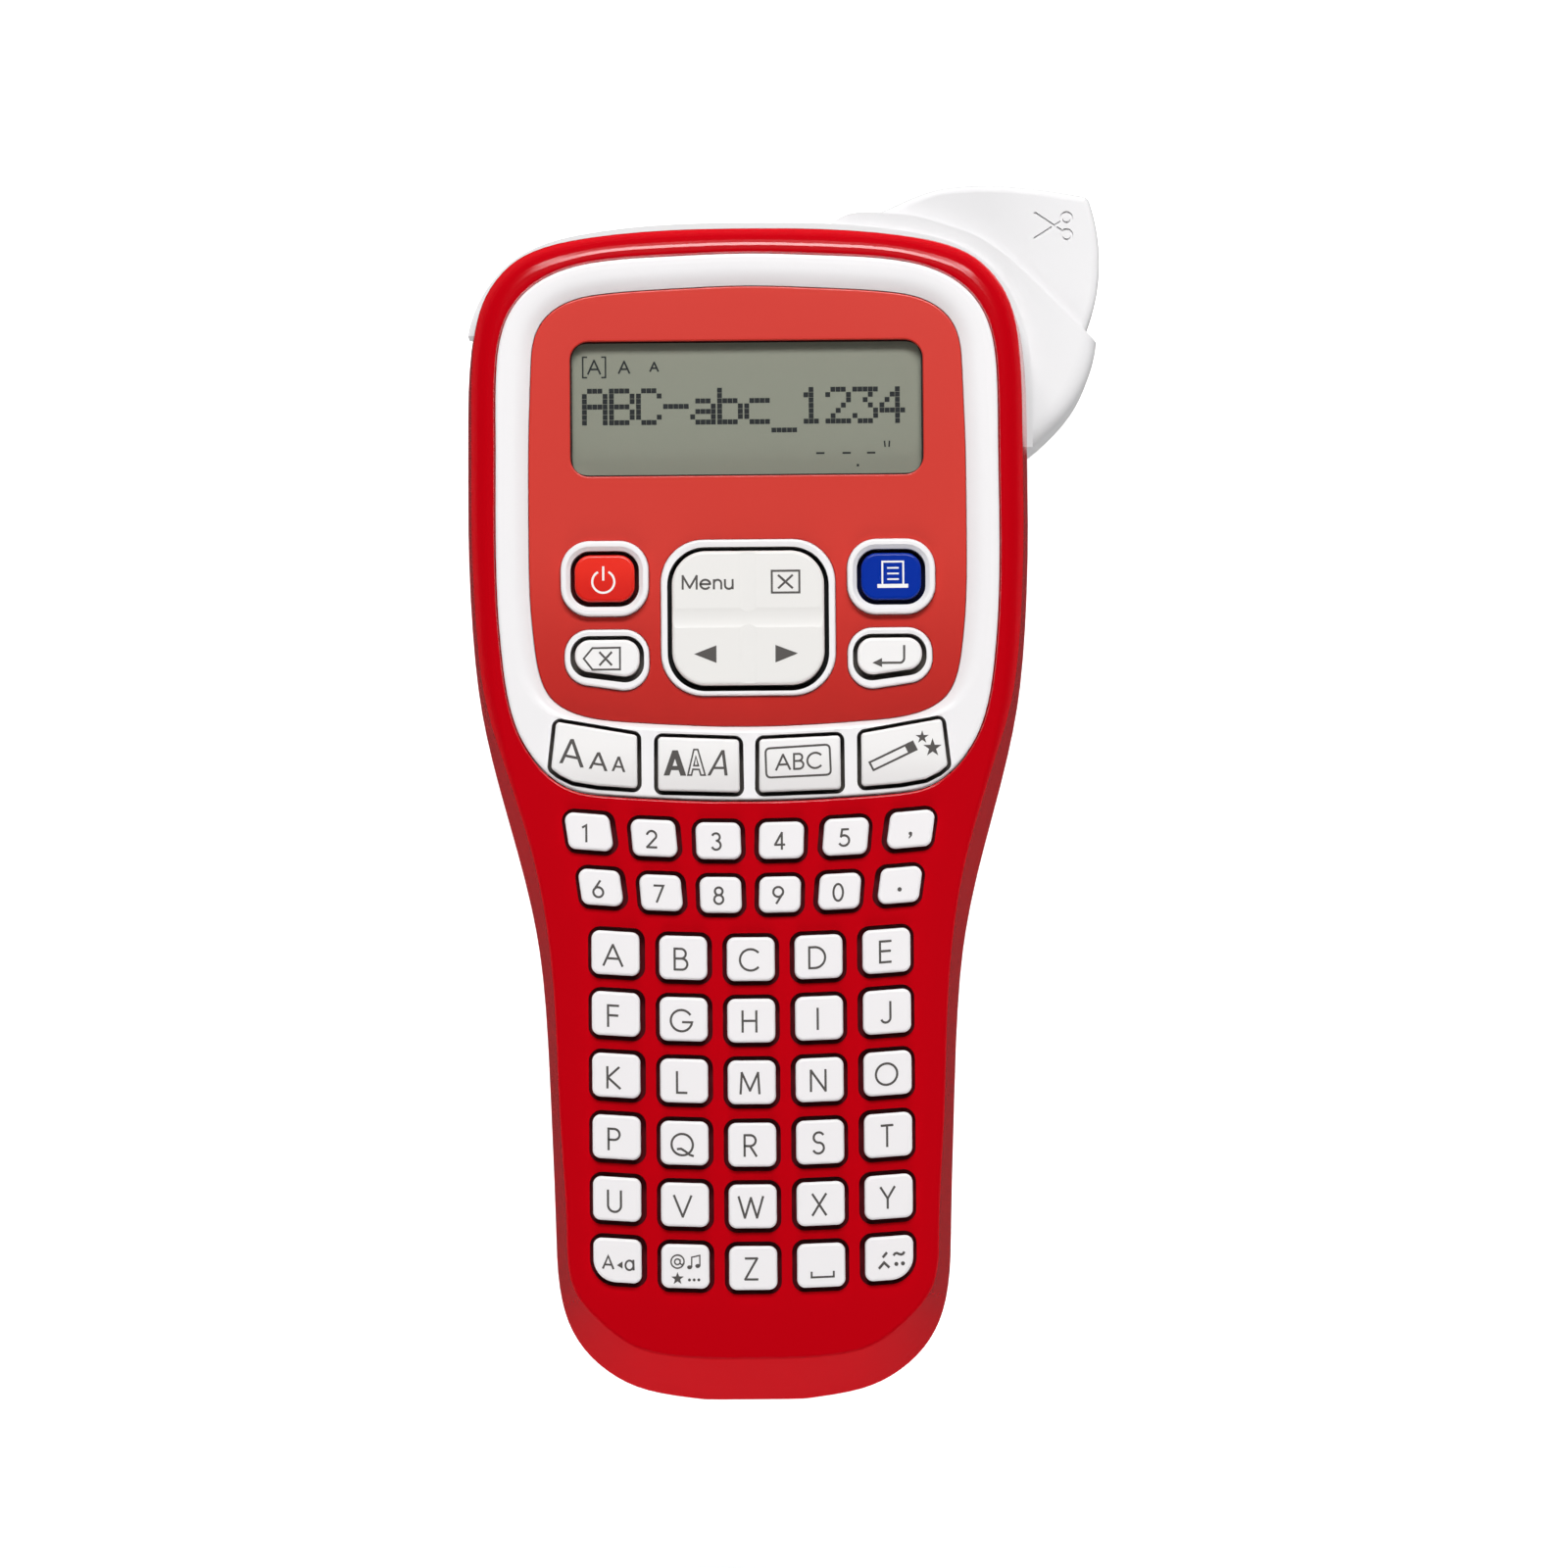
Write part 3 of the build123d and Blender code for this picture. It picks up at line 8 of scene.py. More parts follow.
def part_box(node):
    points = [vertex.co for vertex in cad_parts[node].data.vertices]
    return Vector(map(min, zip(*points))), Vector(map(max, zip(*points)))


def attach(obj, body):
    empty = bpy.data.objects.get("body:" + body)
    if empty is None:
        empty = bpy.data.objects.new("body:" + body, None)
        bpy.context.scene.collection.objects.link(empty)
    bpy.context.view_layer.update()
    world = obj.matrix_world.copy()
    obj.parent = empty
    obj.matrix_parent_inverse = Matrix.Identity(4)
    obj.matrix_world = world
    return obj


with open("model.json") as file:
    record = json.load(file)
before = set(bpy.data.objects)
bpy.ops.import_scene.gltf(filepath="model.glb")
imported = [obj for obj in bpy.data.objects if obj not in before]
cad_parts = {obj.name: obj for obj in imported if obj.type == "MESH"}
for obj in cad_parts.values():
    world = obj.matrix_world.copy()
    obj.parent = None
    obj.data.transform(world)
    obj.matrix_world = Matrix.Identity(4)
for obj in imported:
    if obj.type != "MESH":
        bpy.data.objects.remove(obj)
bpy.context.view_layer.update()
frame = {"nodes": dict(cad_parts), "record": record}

nodes = frame["nodes"]
MM = 0.001


# ------------------------------------------------------------------ materials
def lin(c):
    c = c / 255.0
    return c / 12.92 if c <= 0.04045 else ((c + 0.055) / 1.055) ** 2.4


def rgb(r, g, b):
    return (lin(r), lin(g), lin(b), 1.0)


def tint(colour, k):
    return (min(1, colour[0] * k), min(1, colour[1] * k), min(1, colour[2] * k), 1.0)


def material(name, colour, rough=0.35, rough_spread=0.06, shade=0.93, blotch=40, grain=650, bump=0.03,
             metallic=0.0, specular=0.5, coat=0.0, coat_rough=0.08, alpha=1.0, skirt_and_gap_shade=None, stretch=(1, 1, 1),
             y_shade=None, steep_shade=None):
    m = bpy.data.materials.new(name)
    m.use_nodes = True
    tree = m.node_tree
    tree.nodes.clear()
    new, link = tree.nodes.new, tree.links.new
    out = new("ShaderNodeOutputMaterial")
    shader = new("ShaderNodeBsdfPrincipled")
    link(shader.outputs["BSDF"], out.inputs["Surface"])
    coords = new("ShaderNodeTexCoord")
    mapping = new("ShaderNodeMapping")
    mapping.inputs["Scale"].default_value = stretch
    link(coords.outputs["Object"], mapping.inputs["Vector"])
    wide = new("ShaderNodeTexNoise")
    wide.inputs["Scale"].default_value = blotch
    wide.inputs["Detail"].default_value = 4
    link(mapping.outputs["Vector"], wide.inputs["Vector"])
    fine = new("ShaderNodeTexNoise")
    fine.inputs["Scale"].default_value = grain
    fine.inputs["Detail"].default_value = 2
    link(mapping.outputs["Vector"], fine.inputs["Vector"])
    blend = new("ShaderNodeMix")
    blend.data_type = "RGBA"
    blend.inputs[6].default_value = tint(colour, shade)
    blend.inputs[7].default_value = colour
    link(wide.outputs["Fac"], blend.inputs[0])
    last = blend.outputs[2]
    if y_shade is not None:
        # painted shade: colour that changes along Y, from fade[0] to fade[1] in metres, standing in for light falling
        # off across the surface
        split = new("ShaderNodeSeparateXYZ")
        link(coords.outputs["Object"], split.inputs["Vector"])
        ramp = new("ShaderNodeMapRange")
        ramp.interpolation_type = "SMOOTHSTEP"
        ramp.inputs["From Min"].default_value = y_shade[0]
        ramp.inputs["From Max"].default_value = y_shade[1]
        link(split.outputs["Y"], ramp.inputs["Value"])
        y_shaded_mix = new("ShaderNodeMix")
        y_shaded_mix.data_type = "RGBA"
        link(ramp.outputs["Result"], y_shaded_mix.inputs[0])
        link(last, y_shaded_mix.inputs[6])
        y_shaded_mix.inputs[7].default_value = y_shade[2]
        last = y_shaded_mix.outputs[2]
    if skirt_and_gap_shade is not None:
        # the lower part of a cap, down in its hole, is dark: partly the dark rubber under the caps, partly painted
        # shade of the narrow gap
        split = new("ShaderNodeSeparateXYZ")
        link(coords.outputs["Object"], split.inputs["Vector"])
        ramp = new("ShaderNodeMapRange")
        ramp.interpolation_type = "SMOOTHSTEP"
        ramp.inputs["From Min"].default_value = (skirt_and_gap_shade[0] - skirt_and_gap_shade[1]) * MM
        ramp.inputs["From Max"].default_value = (skirt_and_gap_shade[0] + skirt_and_gap_shade[1]) * MM
        link(split.outputs["Z"], ramp.inputs["Value"])
        low = new("ShaderNodeMix")
        low.data_type = "RGBA"
        link(ramp.outputs["Result"], low.inputs[0])
        low.inputs[6].default_value = skirt_and_gap_shade[2]
        link(last, low.inputs[7])
        last = low.outputs[2]
    if steep_shade is not None:
        # painted light and shade: a lighter or darker tone on the steep faces, standing in for how the lamps fall on
        # the walls
        facing = new("ShaderNodeSeparateXYZ")
        link(coords.outputs["Normal"], facing.inputs["Vector"])
        steep = new("ShaderNodeMath")
        steep.operation = "ABSOLUTE"
        link(facing.outputs["Z"], steep.inputs[0])
        ramp = new("ShaderNodeMapRange")
        ramp.interpolation_type = "SMOOTHSTEP"
        ramp.inputs["From Min"].default_value = 0.9
        ramp.inputs["From Max"].default_value = 0.35
        link(steep.outputs[0], ramp.inputs["Value"])
        steep_tone_mix = new("ShaderNodeMix")
        steep_tone_mix.data_type = "RGBA"
        link(ramp.outputs["Result"], steep_tone_mix.inputs[0])
        link(last, steep_tone_mix.inputs[6])
        steep_tone_mix.inputs[7].default_value = tint(colour, steep_shade)
        last = steep_tone_mix.outputs[2]
    link(last, shader.inputs["Base Color"])
    gloss = new("ShaderNodeMapRange")
    gloss.inputs["To Min"].default_value = max(0.02, rough - rough_spread)
    gloss.inputs["To Max"].default_value = min(1.0, rough + rough_spread)
    link(wide.outputs["Fac"], gloss.inputs["Value"])
    link(gloss.outputs["Result"], shader.inputs["Roughness"])
    if bump:
        relief = new("ShaderNodeBump")
        relief.inputs["Strength"].default_value = bump
        relief.inputs["Distance"].default_value = 0.00005
        link(fine.outputs["Fac"], relief.inputs["Height"])
        link(relief.outputs["Normal"], shader.inputs["Normal"])
    shader.inputs["Metallic"].default_value = metallic
    shader.inputs["Specular IOR Level"].default_value = specular
    shader.inputs["Coat Weight"].default_value = coat
    shader.inputs["Coat Roughness"].default_value = coat_rough
    shader.inputs["Alpha"].default_value = alpha
    return m


# colours seen down the narrow gaps round the caps: the dark rubber under them plus painted shade, tinted like the light
# bounced from the parts around them
gap_shade_red = rgb(112, 22, 32)
gap_shade_grey = rgb(116, 110, 105)
gap_shade_black = rgb(84, 12, 14)
gap_shade_navy = rgb(22, 26, 66)
cap_white = rgb(246, 243, 244)
upper_white = rgb(237, 235, 232)
finishes = {
    # painted light: the red shell's steep walls get a lighter red
    "shell_red": material("shell_red", rgb(190, 1, 16), rough=0.17, rough_spread=0.015, shade=0.985, blotch=18, grain=420, bump=0.012,
                          specular=0.36, steep_shade=1.38),
    # painted shade: the white case's steep walls get a darker tone
    "case_white": material("case_white", rgb(238, 237, 238), rough=0.5, shade=0.985, bump=0.02, specular=0.2, steep_shade=0.76),
    "frame_white": material("frame_white", rgb(243, 241, 242), rough=0.33, rough_spread=0.03, shade=0.985, bump=0.02),
    # painted shade: the panel darkens towards its lower end
    "panel_red": material("panel_red", rgb(208, 56, 46), rough=0.32, rough_spread=0.03, shade=0.97, blotch=30, bump=0.015,
                          y_shade=(-0.002, -0.032, rgb(186, 36, 30))),
    "lens_clear": material("lens_clear", rgb(20, 22, 21), rough=0.06, rough_spread=0.02, bump=0.0, alpha=0.06),
    "lcd_glass": material("lcd_glass", rgb(152, 155, 140), rough=0.5, shade=0.98, bump=0.02, specular=0.25),
    "key_white": material("key_white", cap_white, rough=0.34, shade=0.985, bump=0.03),
    "key_red": material("key_red", rgb(224, 40, 28), rough=0.3, shade=0.96, bump=0.03),
    "key_blue": material("key_blue", rgb(10, 50, 150), rough=0.3, shade=0.94, bump=0.03),
    "mat_black": material("mat_black", rgb(24, 22, 22), rough=0.7, shade=0.8, bump=0.15),
    "board_green": material("board_green", rgb(28, 88, 52), rough=0.4, shade=0.8, blotch=160, bump=0.12),
    "black_plastic": material("black_plastic", rgb(30, 30, 31), rough=0.45, shade=0.85, bump=0.1),
    "gear_white": material("gear_white", rgb(226, 224, 214), rough=0.42, shade=0.95, bump=0.05),
    "steel": material("steel", rgb(176, 178, 182), rough=0.32, shade=0.9, metallic=1.0, stretch=(1, 14, 1), bump=0.08),
    "aluminium": material("aluminium", rgb(196, 198, 202), rough=0.38, shade=0.92, metallic=1.0, stretch=(1, 10, 1), bump=0.08),
    "contact_metal": material("contact_metal", rgb(190, 184, 168), rough=0.28, shade=0.9, metallic=1.0, bump=0.06),
    "roller_rubber": material("roller_rubber", rgb(38, 36, 36), rough=0.75, shade=0.8, bump=0.2),
    "cassette_grey": material("cassette_grey", rgb(92, 94, 98), rough=0.5, shade=0.92, bump=0.1),
    "tape_white": material("tape_white", rgb(244, 243, 239), rough=0.3, shade=0.98, bump=0.02),
    "cell_sleeve": material("cell_sleeve", rgb(40, 44, 52), rough=0.3, shade=0.85, bump=0.04, coat=0.4),
    "ceramic": material("ceramic", rgb(210, 204, 190), rough=0.4, shade=0.93, bump=0.06),
}
# each cap's lower part takes a gap colour: dark rubber with painted shade of the gap
face_key = material("key_white_face", cap_white, rough=0.34, shade=0.985, skirt_and_gap_shade=(55.35, 0.25, gap_shade_red))
# painted shade: the function keys darken towards their lower edge
function_key = material("key_white_function", rgb(246, 244, 243), rough=0.34, shade=0.985, skirt_and_gap_shade=(55.1, 0.25, gap_shade_grey),
                        y_shade=(-0.038, -0.047, rgb(228, 225, 224)))
small_key = material("key_white_small", rgb(245, 243, 242), rough=0.34, shade=0.985, skirt_and_gap_shade=(54.25, 0.25, gap_shade_grey))
upper_key = material("key_white_upper", upper_white, rough=0.34, shade=0.985, skirt_and_gap_shade=(54.25, 0.25, gap_shade_grey))
# painted shade: the power key darkens towards its lower edge
red_key = material("key_red_cap", rgb(236, 44, 29), rough=0.3, shade=0.95, skirt_and_gap_shade=(53.45, 0.2, gap_shade_black),
                   y_shade=(-0.008, -0.0135, rgb(214, 30, 20)))
blue_key = material("key_blue_cap", rgb(2, 46, 158), rough=0.26, specular=0.3, shade=0.93, skirt_and_gap_shade=(53.45, 0.2, gap_shade_navy))
ink_grey = material("ink_grey", rgb(84, 80, 78), rough=0.5, shade=0.93, bump=0.0)
ink_white = material("ink_white", rgb(246, 244, 242), rough=0.45, shade=0.97, bump=0.0)
lcd_dark = material("lcd_dark", rgb(52, 55, 56), rough=0.6, shade=0.93, bump=0.0, specular=0.1)
edge_dark = material("edge_dark", rgb(44, 34, 32), rough=0.5, shade=0.9, bump=0.0, specular=0.2)

slot_of = {part["node"]: part.get("material_slot") for part in frame["record"].get("subparts", [])}
special = {"size_key": function_key, "style_key": function_key, "frame_key": function_key, "decor_key": function_key,
           "delete_key": small_key, "enter_key": small_key, "nav_pad": upper_key, "power_key": red_key,
           "print_key": blue_key}
for name, obj in nodes.items():
    look = special.get(name)
    if look is None and name.endswith("_keys"):
        look = face_key
    if look is None:
        look = finishes[slot_of[name]]
    if not obj.material_slots:
        obj.data.materials.append(look)
    for place in obj.material_slots:
        place.material = look


# ------------------------------------------------------------------ printed signs, drawn as thin raised strokes
def arc(cx, cy, rx, a0, a1, ry=None, n=None):
    ry = rx if ry is None else ry
    n = n or max(4, int(abs(a1 - a0) / 9))
    return [(cx + rx * math.cos(math.radians(a0 + (a1 - a0) * i / n)),
             cy + ry * math.sin(math.radians(a0 + (a1 - a0) * i / n))) for i in range(n + 1)]


# each sign: strokes as point lists, in units of its height, with the base line at 0
GLYPHS = {
    "A": [[(0, 0), (0.45, 1), (0.9, 0)], [(0.14, 0.34), (0.76, 0.34)]],
    "B": [[(0, 0), (0, 1), (0.3, 1)] + arc(0.3, 0.765, 0.235, 90, -90) + [(0, 0.53)],
          [(0, 0.53), (0.34, 0.53)] + arc(0.34, 0.265, 0.265, 90, -90) + [(0, 0)]],
    "C": [arc(0.5, 0.5, 0.51, 45, 315)],
    "D": [[(0, 0), (0, 1), (0.26, 1)] + arc(0.26, 0.5, 0.5, 90, -90) + [(0, 0)]],
    "E": [[(0.52, 1), (0, 1), (0, 0), (0.52, 0)], [(0, 0.53), (0.49, 0.53)]],
    "F": [[(0.5, 1), (0, 1), (0, 0)], [(0, 0.53), (0.46, 0.53)]],
    "G": [arc(0.5, 0.5, 0.51, 36, 352) + [(0.56, 0.43)]],
    "H": [[(0, 0), (0, 1)], [(0.66, 0), (0.66, 1)], [(0, 0.53), (0.66, 0.53)]],
    "I": [[(0, 0), (0, 1)]],
    "J": [[(0.4, 1), (0.4, 0.24)] + arc(0.18, 0.24, 0.22, 0, -155)],
    "K": [[(0, 0), (0, 1)], [(0.55, 1), (0.02, 0.5), (0.6, 0)]],
    "L": [[(0, 1), (0, 0), (0.46, 0)]],
    "M": [[(0, 0), (0.06, 1), (0.45, 0.14), (0.84, 1), (0.9, 0)]],
    "N": [[(0, 0), (0, 1), (0.7, 0), (0.7, 1)]],
    "O": [arc(0.5, 0.5, 0.51, 0, 360)],
    "P": [[(0, 0), (0, 1), (0.27, 1)] + arc(0.27, 0.74, 0.26, 90, -90) + [(0, 0.48)]],
    "Q": [arc(0.5, 0.5, 0.51, 0, 360), [(0.28, 0.28), (0.45, 0.3), (0.62, 0.2), (0.86, 0.02), (1.02, -0.03)]],
    "R": [[(0, 0), (0, 1), (0.27, 1)] + arc(0.27, 0.74, 0.26, 90, -90) + [(0, 0.48)], [(0.26, 0.48), (0.56, 0)]],
    "S": [arc(0.27, 0.755, 0.245, 35, 262) + arc(0.25, 0.255, 0.26, 78, -150)],
    "T": [[(0, 1), (0.54, 1)], [(0.27, 1), (0.27, 0)]],
    "U": [[(0, 1), (0, 0.3)] + arc(0.31, 0.3, 0.31, 180, 360) + [(0.62, 1)]],
    "V": [[(0, 1), (0.41, 0), (0.82, 1)]],
    "W": [[(0, 1), (0.29, 0), (0.58, 0.95), (0.87, 0), (1.16, 1)]],
    "X": [[(0, 1), (0.64, 0)], [(0.64, 1), (0, 0)]],
    "Y": [[(0, 1), (0.33, 0.46), (0.66, 1)], [(0.33, 0.46), (0.33, 0)]],
    "Z": [[(0.02, 1), (0.58, 1), (0, 0), (0.6, 0)]],
    "1": [[(0, 0.86), (0.22, 1), (0.22, 0)]],
    "2": [arc(0.28, 0.72, 0.28, 165, -28) + [(0, 0), (0.58, 0)]],
    "3": [arc(0.25, 0.765, 0.235, 150, -80) + arc(0.26, 0.27, 0.275, 82, -150)],
    "4": [[(0.42, 0), (0.42, 1), (0, 0.27), (0.58, 0.27)]],
    "5": [[(0.52, 1), (0.15, 1), (0.07, 0.56)] + arc(0.25, 0.32, 0.32, 118, -145)],
    "6": [arc(0.29, 0.3, 0.3, 0, 360), [(0.025, 0.42), (0.4, 1)]],
    "7": [[(0, 1), (0.56, 1), (0.16, 0)]],
    "8": [arc(0.28, 0.765, 0.235, 0, 360), arc(0.28, 0.265, 0.275, 0, 360)],
    "9": [arc(0.29, 0.7, 0.3, 0, 360), [(0.555, 0.58), (0.18, 0)]],
    "0": [arc(0.29, 0.5, 0.29, 0, 360, 0.51)],
    "e": [[(0.04, 0.33), (0.6, 0.33)] + arc(0.32, 0.3, 0.3, 8, 318, 0.32)],
    "n": [[(0, 0), (0, 0.62)], [(0, 0.36)] + arc(0.22, 0.39, 0.22, 180, 0, 0.24) + [(0.44, 0)]],
    "u": [[(0, 0.62), (0, 0.24)] + arc(0.22, 0.23, 0.22, 180, 360, 0.24) + [(0.44, 0.62)], [(0.44, 0.3), (0.44, 0)]],
    "a": [arc(0.28, 0.3, 0.28, 0, 360, 0.31), [(0.57, 0.62), (0.57, 0)]],
    # the wide letters of the menu sign
    "m": [[(0, 0), (0, 1), (0.51, 0.08), (1.02, 1), (1.02, 0)]],
    "x": [[(0.03, 0.36), (0.74, 0.36)] + arc(0.385, 0.345, 0.36, 4, 318, 0.345)],
    "y": [[(0, 0), (0, 0.68)], [(0, 0.4)] + arc(0.27, 0.4, 0.27, 180, 0, 0.28) + [(0.54, 0)]],
    "z": [[(0, 0.68), (0, 0.27)] + arc(0.28, 0.26, 0.28, 180, 360, 0.27) + [(0.56, 0.68)], [(0.56, 0.3), (0.56, 0)]],
}


def side_points(points, half, closed):
    n = len(points)
    left, right = [], []
    for i in range(n):
        p = Vector(points[i])
        before = Vector(points[i - 1]) if i > 0 or closed else None
        after = Vector(points[(i + 1) % n]) if i < n - 1 or closed else None
        d0 = (p - before).normalized() if before is not None else None
        d1 = (after - p).normalized() if after is not None else None
        if d0 is None:
            d0 = d1
        if d1 is None:
            d1 = d0
        n0, n1 = Vector((-d0.y, d0.x)), Vector((-d1.y, d1.x))
        m = n0 + n1
        if m.length < 1e-6:
            m = n0.copy()
        m.normalize()
        k = min(1.8, 1.0 / max(0.2, m.dot(n0)))
        left.append(p + m * half * k)
        right.append(p - m * half * k)
    return left, right


class Sign:
    """Thin raised strokes and filled shapes collected into one mesh. Millimetres."""

    def __init__(self, z, thick=0.03):
        self.z, self.thick = z, thick
        self.verts, self.faces = [], []
        self.count = 0

    def layer(self):
        self.count += 1
        return self.z + self.thick + 0.0006 * (self.count % 12)

    def stroke(self, points, width, closed=False, extend=0.0):
        if extend:
            # longer at both ends
            points = list(points)
            for end, inner in ((0, 1), (-1, -2)):
                e, q = Vector(points[end]), Vector(points[inner])
                e = e + (e - q).normalized() * extend
                points[end] = (e.x, e.y)
        pts = [points[0]]
        for p in points[1:]:
            if math.hypot(p[0] - pts[-1][0], p[1] - pts[-1][1]) > 1e-5:
                pts.append(p)
        if math.hypot(pts[0][0] - pts[-1][0], pts[0][1] - pts[-1][1]) < 1e-5 and len(pts) > 2:
            pts.pop()
            closed = True
        left, right = side_points(pts, width / 2, closed)
        top = self.layer()
        base = len(self.verts)
        n = len(pts)
        for l, r in zip(left, right):
            self.verts += [(l.x, l.y, top), (r.x, r.y, top), (l.x, l.y, self.z), (r.x, r.y, self.z)]
        for i in range(n if closed else n - 1):
            a, b = base + 4 * i, base + 4 * ((i + 1) % n)
            self.faces += [(a, a + 1, b + 1, b), (a + 2, b + 2, b + 3, a + 3), (a, b, b + 2, a + 2),
                           (a + 1, a + 3, b + 3, b + 1)]
        if not closed:
            a, b = base, base + 4 * (n - 1)
            self.faces += [(a, a + 2, a + 3, a + 1), (b, b + 1, b + 3, b + 2)]

    def fill(self, points):
        """Filled shape; the points go round it, seen from above, and see its middle."""
        n = len(points)
        mx, my = sum(p[0] for p in points) / n, sum(p[1] for p in points) / n
        area = sum(points[i][0] * points[(i + 1) % n][1] - points[(i + 1) % n][0] * points[i][1] for i in range(n))
        if area < 0:
            points = points[::-1]
        top = self.layer()
        base = len(self.verts)
        self.verts += [(mx, my, top), (mx, my, self.z)]
        for x, y in points:
            self.verts += [(x, y, top), (x, y, self.z)]
        for i in range(n):
            a, b = base + 2 + 2 * i, base + 2 + 2 * ((i + 1) % n)
            self.faces += [(base, a, b), (base + 1, b + 1, a + 1), (a, a + 1, b + 1, b)]

    def text(self, chars, cx, cy, height, width, angle=0.0, gap=0.2, slant=0.0, stretch=1.0):
        """Characters centred on (cx, cy); height is that of the capitals' middle lines."""
        x, placed = 0.0, []
        for ch in chars:
            strokes = GLYPHS[ch]
            reach = max(p[0] for s in strokes for p in s)
            start = min(p[0] for s in strokes for p in s)
            placed.append((x - start, strokes))
            x += reach - start + gap
        total = x - gap
        for offset, strokes in placed:
            for points in strokes:
                out = []
                for px, py in points:
                    u = (px + offset - total / 2 + slant * (py - 0.5)) * height * stretch
                    v = (py - 0.5) * height
                    out.append((cx + u, cy + v + u * math.tan(angle)))
                ends_meet = math.hypot(out[0][0] - out[-1][0], out[0][1] - out[-1][1]) < 1e-4
                # a sharp corner starts a new stroke, so that both legs keep their full width
                runs = [[out[0]]]
                for i in range(1, len(out)):
                    runs[-1].append(out[i])
                    if i < len(out) - 1 and not ends_meet:
                        before, after = Vector(out[i]) - Vector(out[i - 1]), Vector(out[i + 1]) - Vector(out[i])
                        if before.normalized().dot(after.normalized()) < -0.5:
                            runs.append([out[i]])
                for run in runs:
                    self.stroke(run, width, extend=0.0 if ends_meet else 0.3 * width)

    def capital_a(self, left, right, top, width, flat, bar, bar_width):
        """Letter A with a flat top: two legs from the feet at left and right, and a bar at the fraction bar."""
        for x, y in (left, right):
            self.fill([(x - width / 2, y), (x + width / 2, y), (top[0] + flat / 2, top[1]), (top[0] - flat / 2, top[1])])
        ends = [(x + bar * (top[0] - x), y + bar * (top[1] - y)) for x, y in (left, right)]
        self.stroke(ends, bar_width)

    def star(self, cx, cy, r, inner=0.42, turn=90):
        self.fill([(cx + (r if i % 2 == 0 else r * inner) * math.cos(math.radians(turn + 36 * i)),
                    cy + (r if i % 2 == 0 else r * inner) * math.sin(math.radians(turn + 36 * i))) for i in range(10)])

    def dot(self, cx, cy, r):
        self.fill([(cx + r * math.cos(2 * math.pi * i / 20), cy + r * math.sin(2 * math.pi * i / 20)) for i in range(20)])

    def piece(self, name, body, look):
        mesh = bpy.data.meshes.new(name)
        mesh.from_pydata([(x * MM, y * MM, z * MM) for x, y, z in self.verts], [], self.faces)
        mesh.update()
        mesh.materials.append(look)
        obj = bpy.data.objects.new(name, mesh)
        bpy.context.scene.collection.objects.link(obj)
        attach(obj, body)
        return obj


def round_rect(points, r, n=6):
    """Closed outline through a four-cornered shape with rounded corners."""
    out = []
    count = len(points)
    for i in range(count):
        p = Vector(points[i])
        a = (Vector(points[i - 1]) - p).normalized()
        b = (Vector(points[(i + 1) % count]) - p).normalized()
        p0, p1 = p + a * r, p + b * r
        for k in range(n + 1):
            t = k / n
            q = p0 * (1 - t) ** 2 + p * 2 * t * (1 - t) + p1 * t * t
            out.append((q.x, q.y))
    return out + [out[0]]


slope = 0.0031
face_top = 56.5
number_rows = [
    ("number_row_1_keys", "12345,", ((-26.8, -53.2), (-15.97, -54.33), (-5.25, -54.87), (5.25, -54.87), (15.97, -54.33), (26.8, -53.2))),
    ("number_row_2_keys", "67890.", ((-24.9, -62.5), (-14.87, -63.46), (-4.93, -63.9), (4.93, -63.9), (14.87, -63.46), (24.9, -62.5))),
]
for name, chars, places in number_rows:
    sign = Sign(face_top)
    for ch, (x, y) in zip(chars, places):
        angle = slope * x
        if ch == ",":
            sign.dot(x - 0.05, y - 0.75, 0.3)
            sign.fill([(x - 0.33, y - 0.78), (x + 0.25, y - 0.78), (x + 0.2, y - 1.1), (x - 0.25, y - 1.6), (x - 0.38, y - 1.5), (x - 0.1, y - 1.0)])
        elif ch == ".":
            sign.dot(x - 0.05, y - 0.75, 0.36)
        else:
            sign.text(ch, x - (0.62 if ch == "1" else 0.3) + 0.004 * x, y - 0.12 - 0.006 * abs(x), 2.72, 0.36, angle)
    sign.piece("legend_" + name, name, ink_grey)

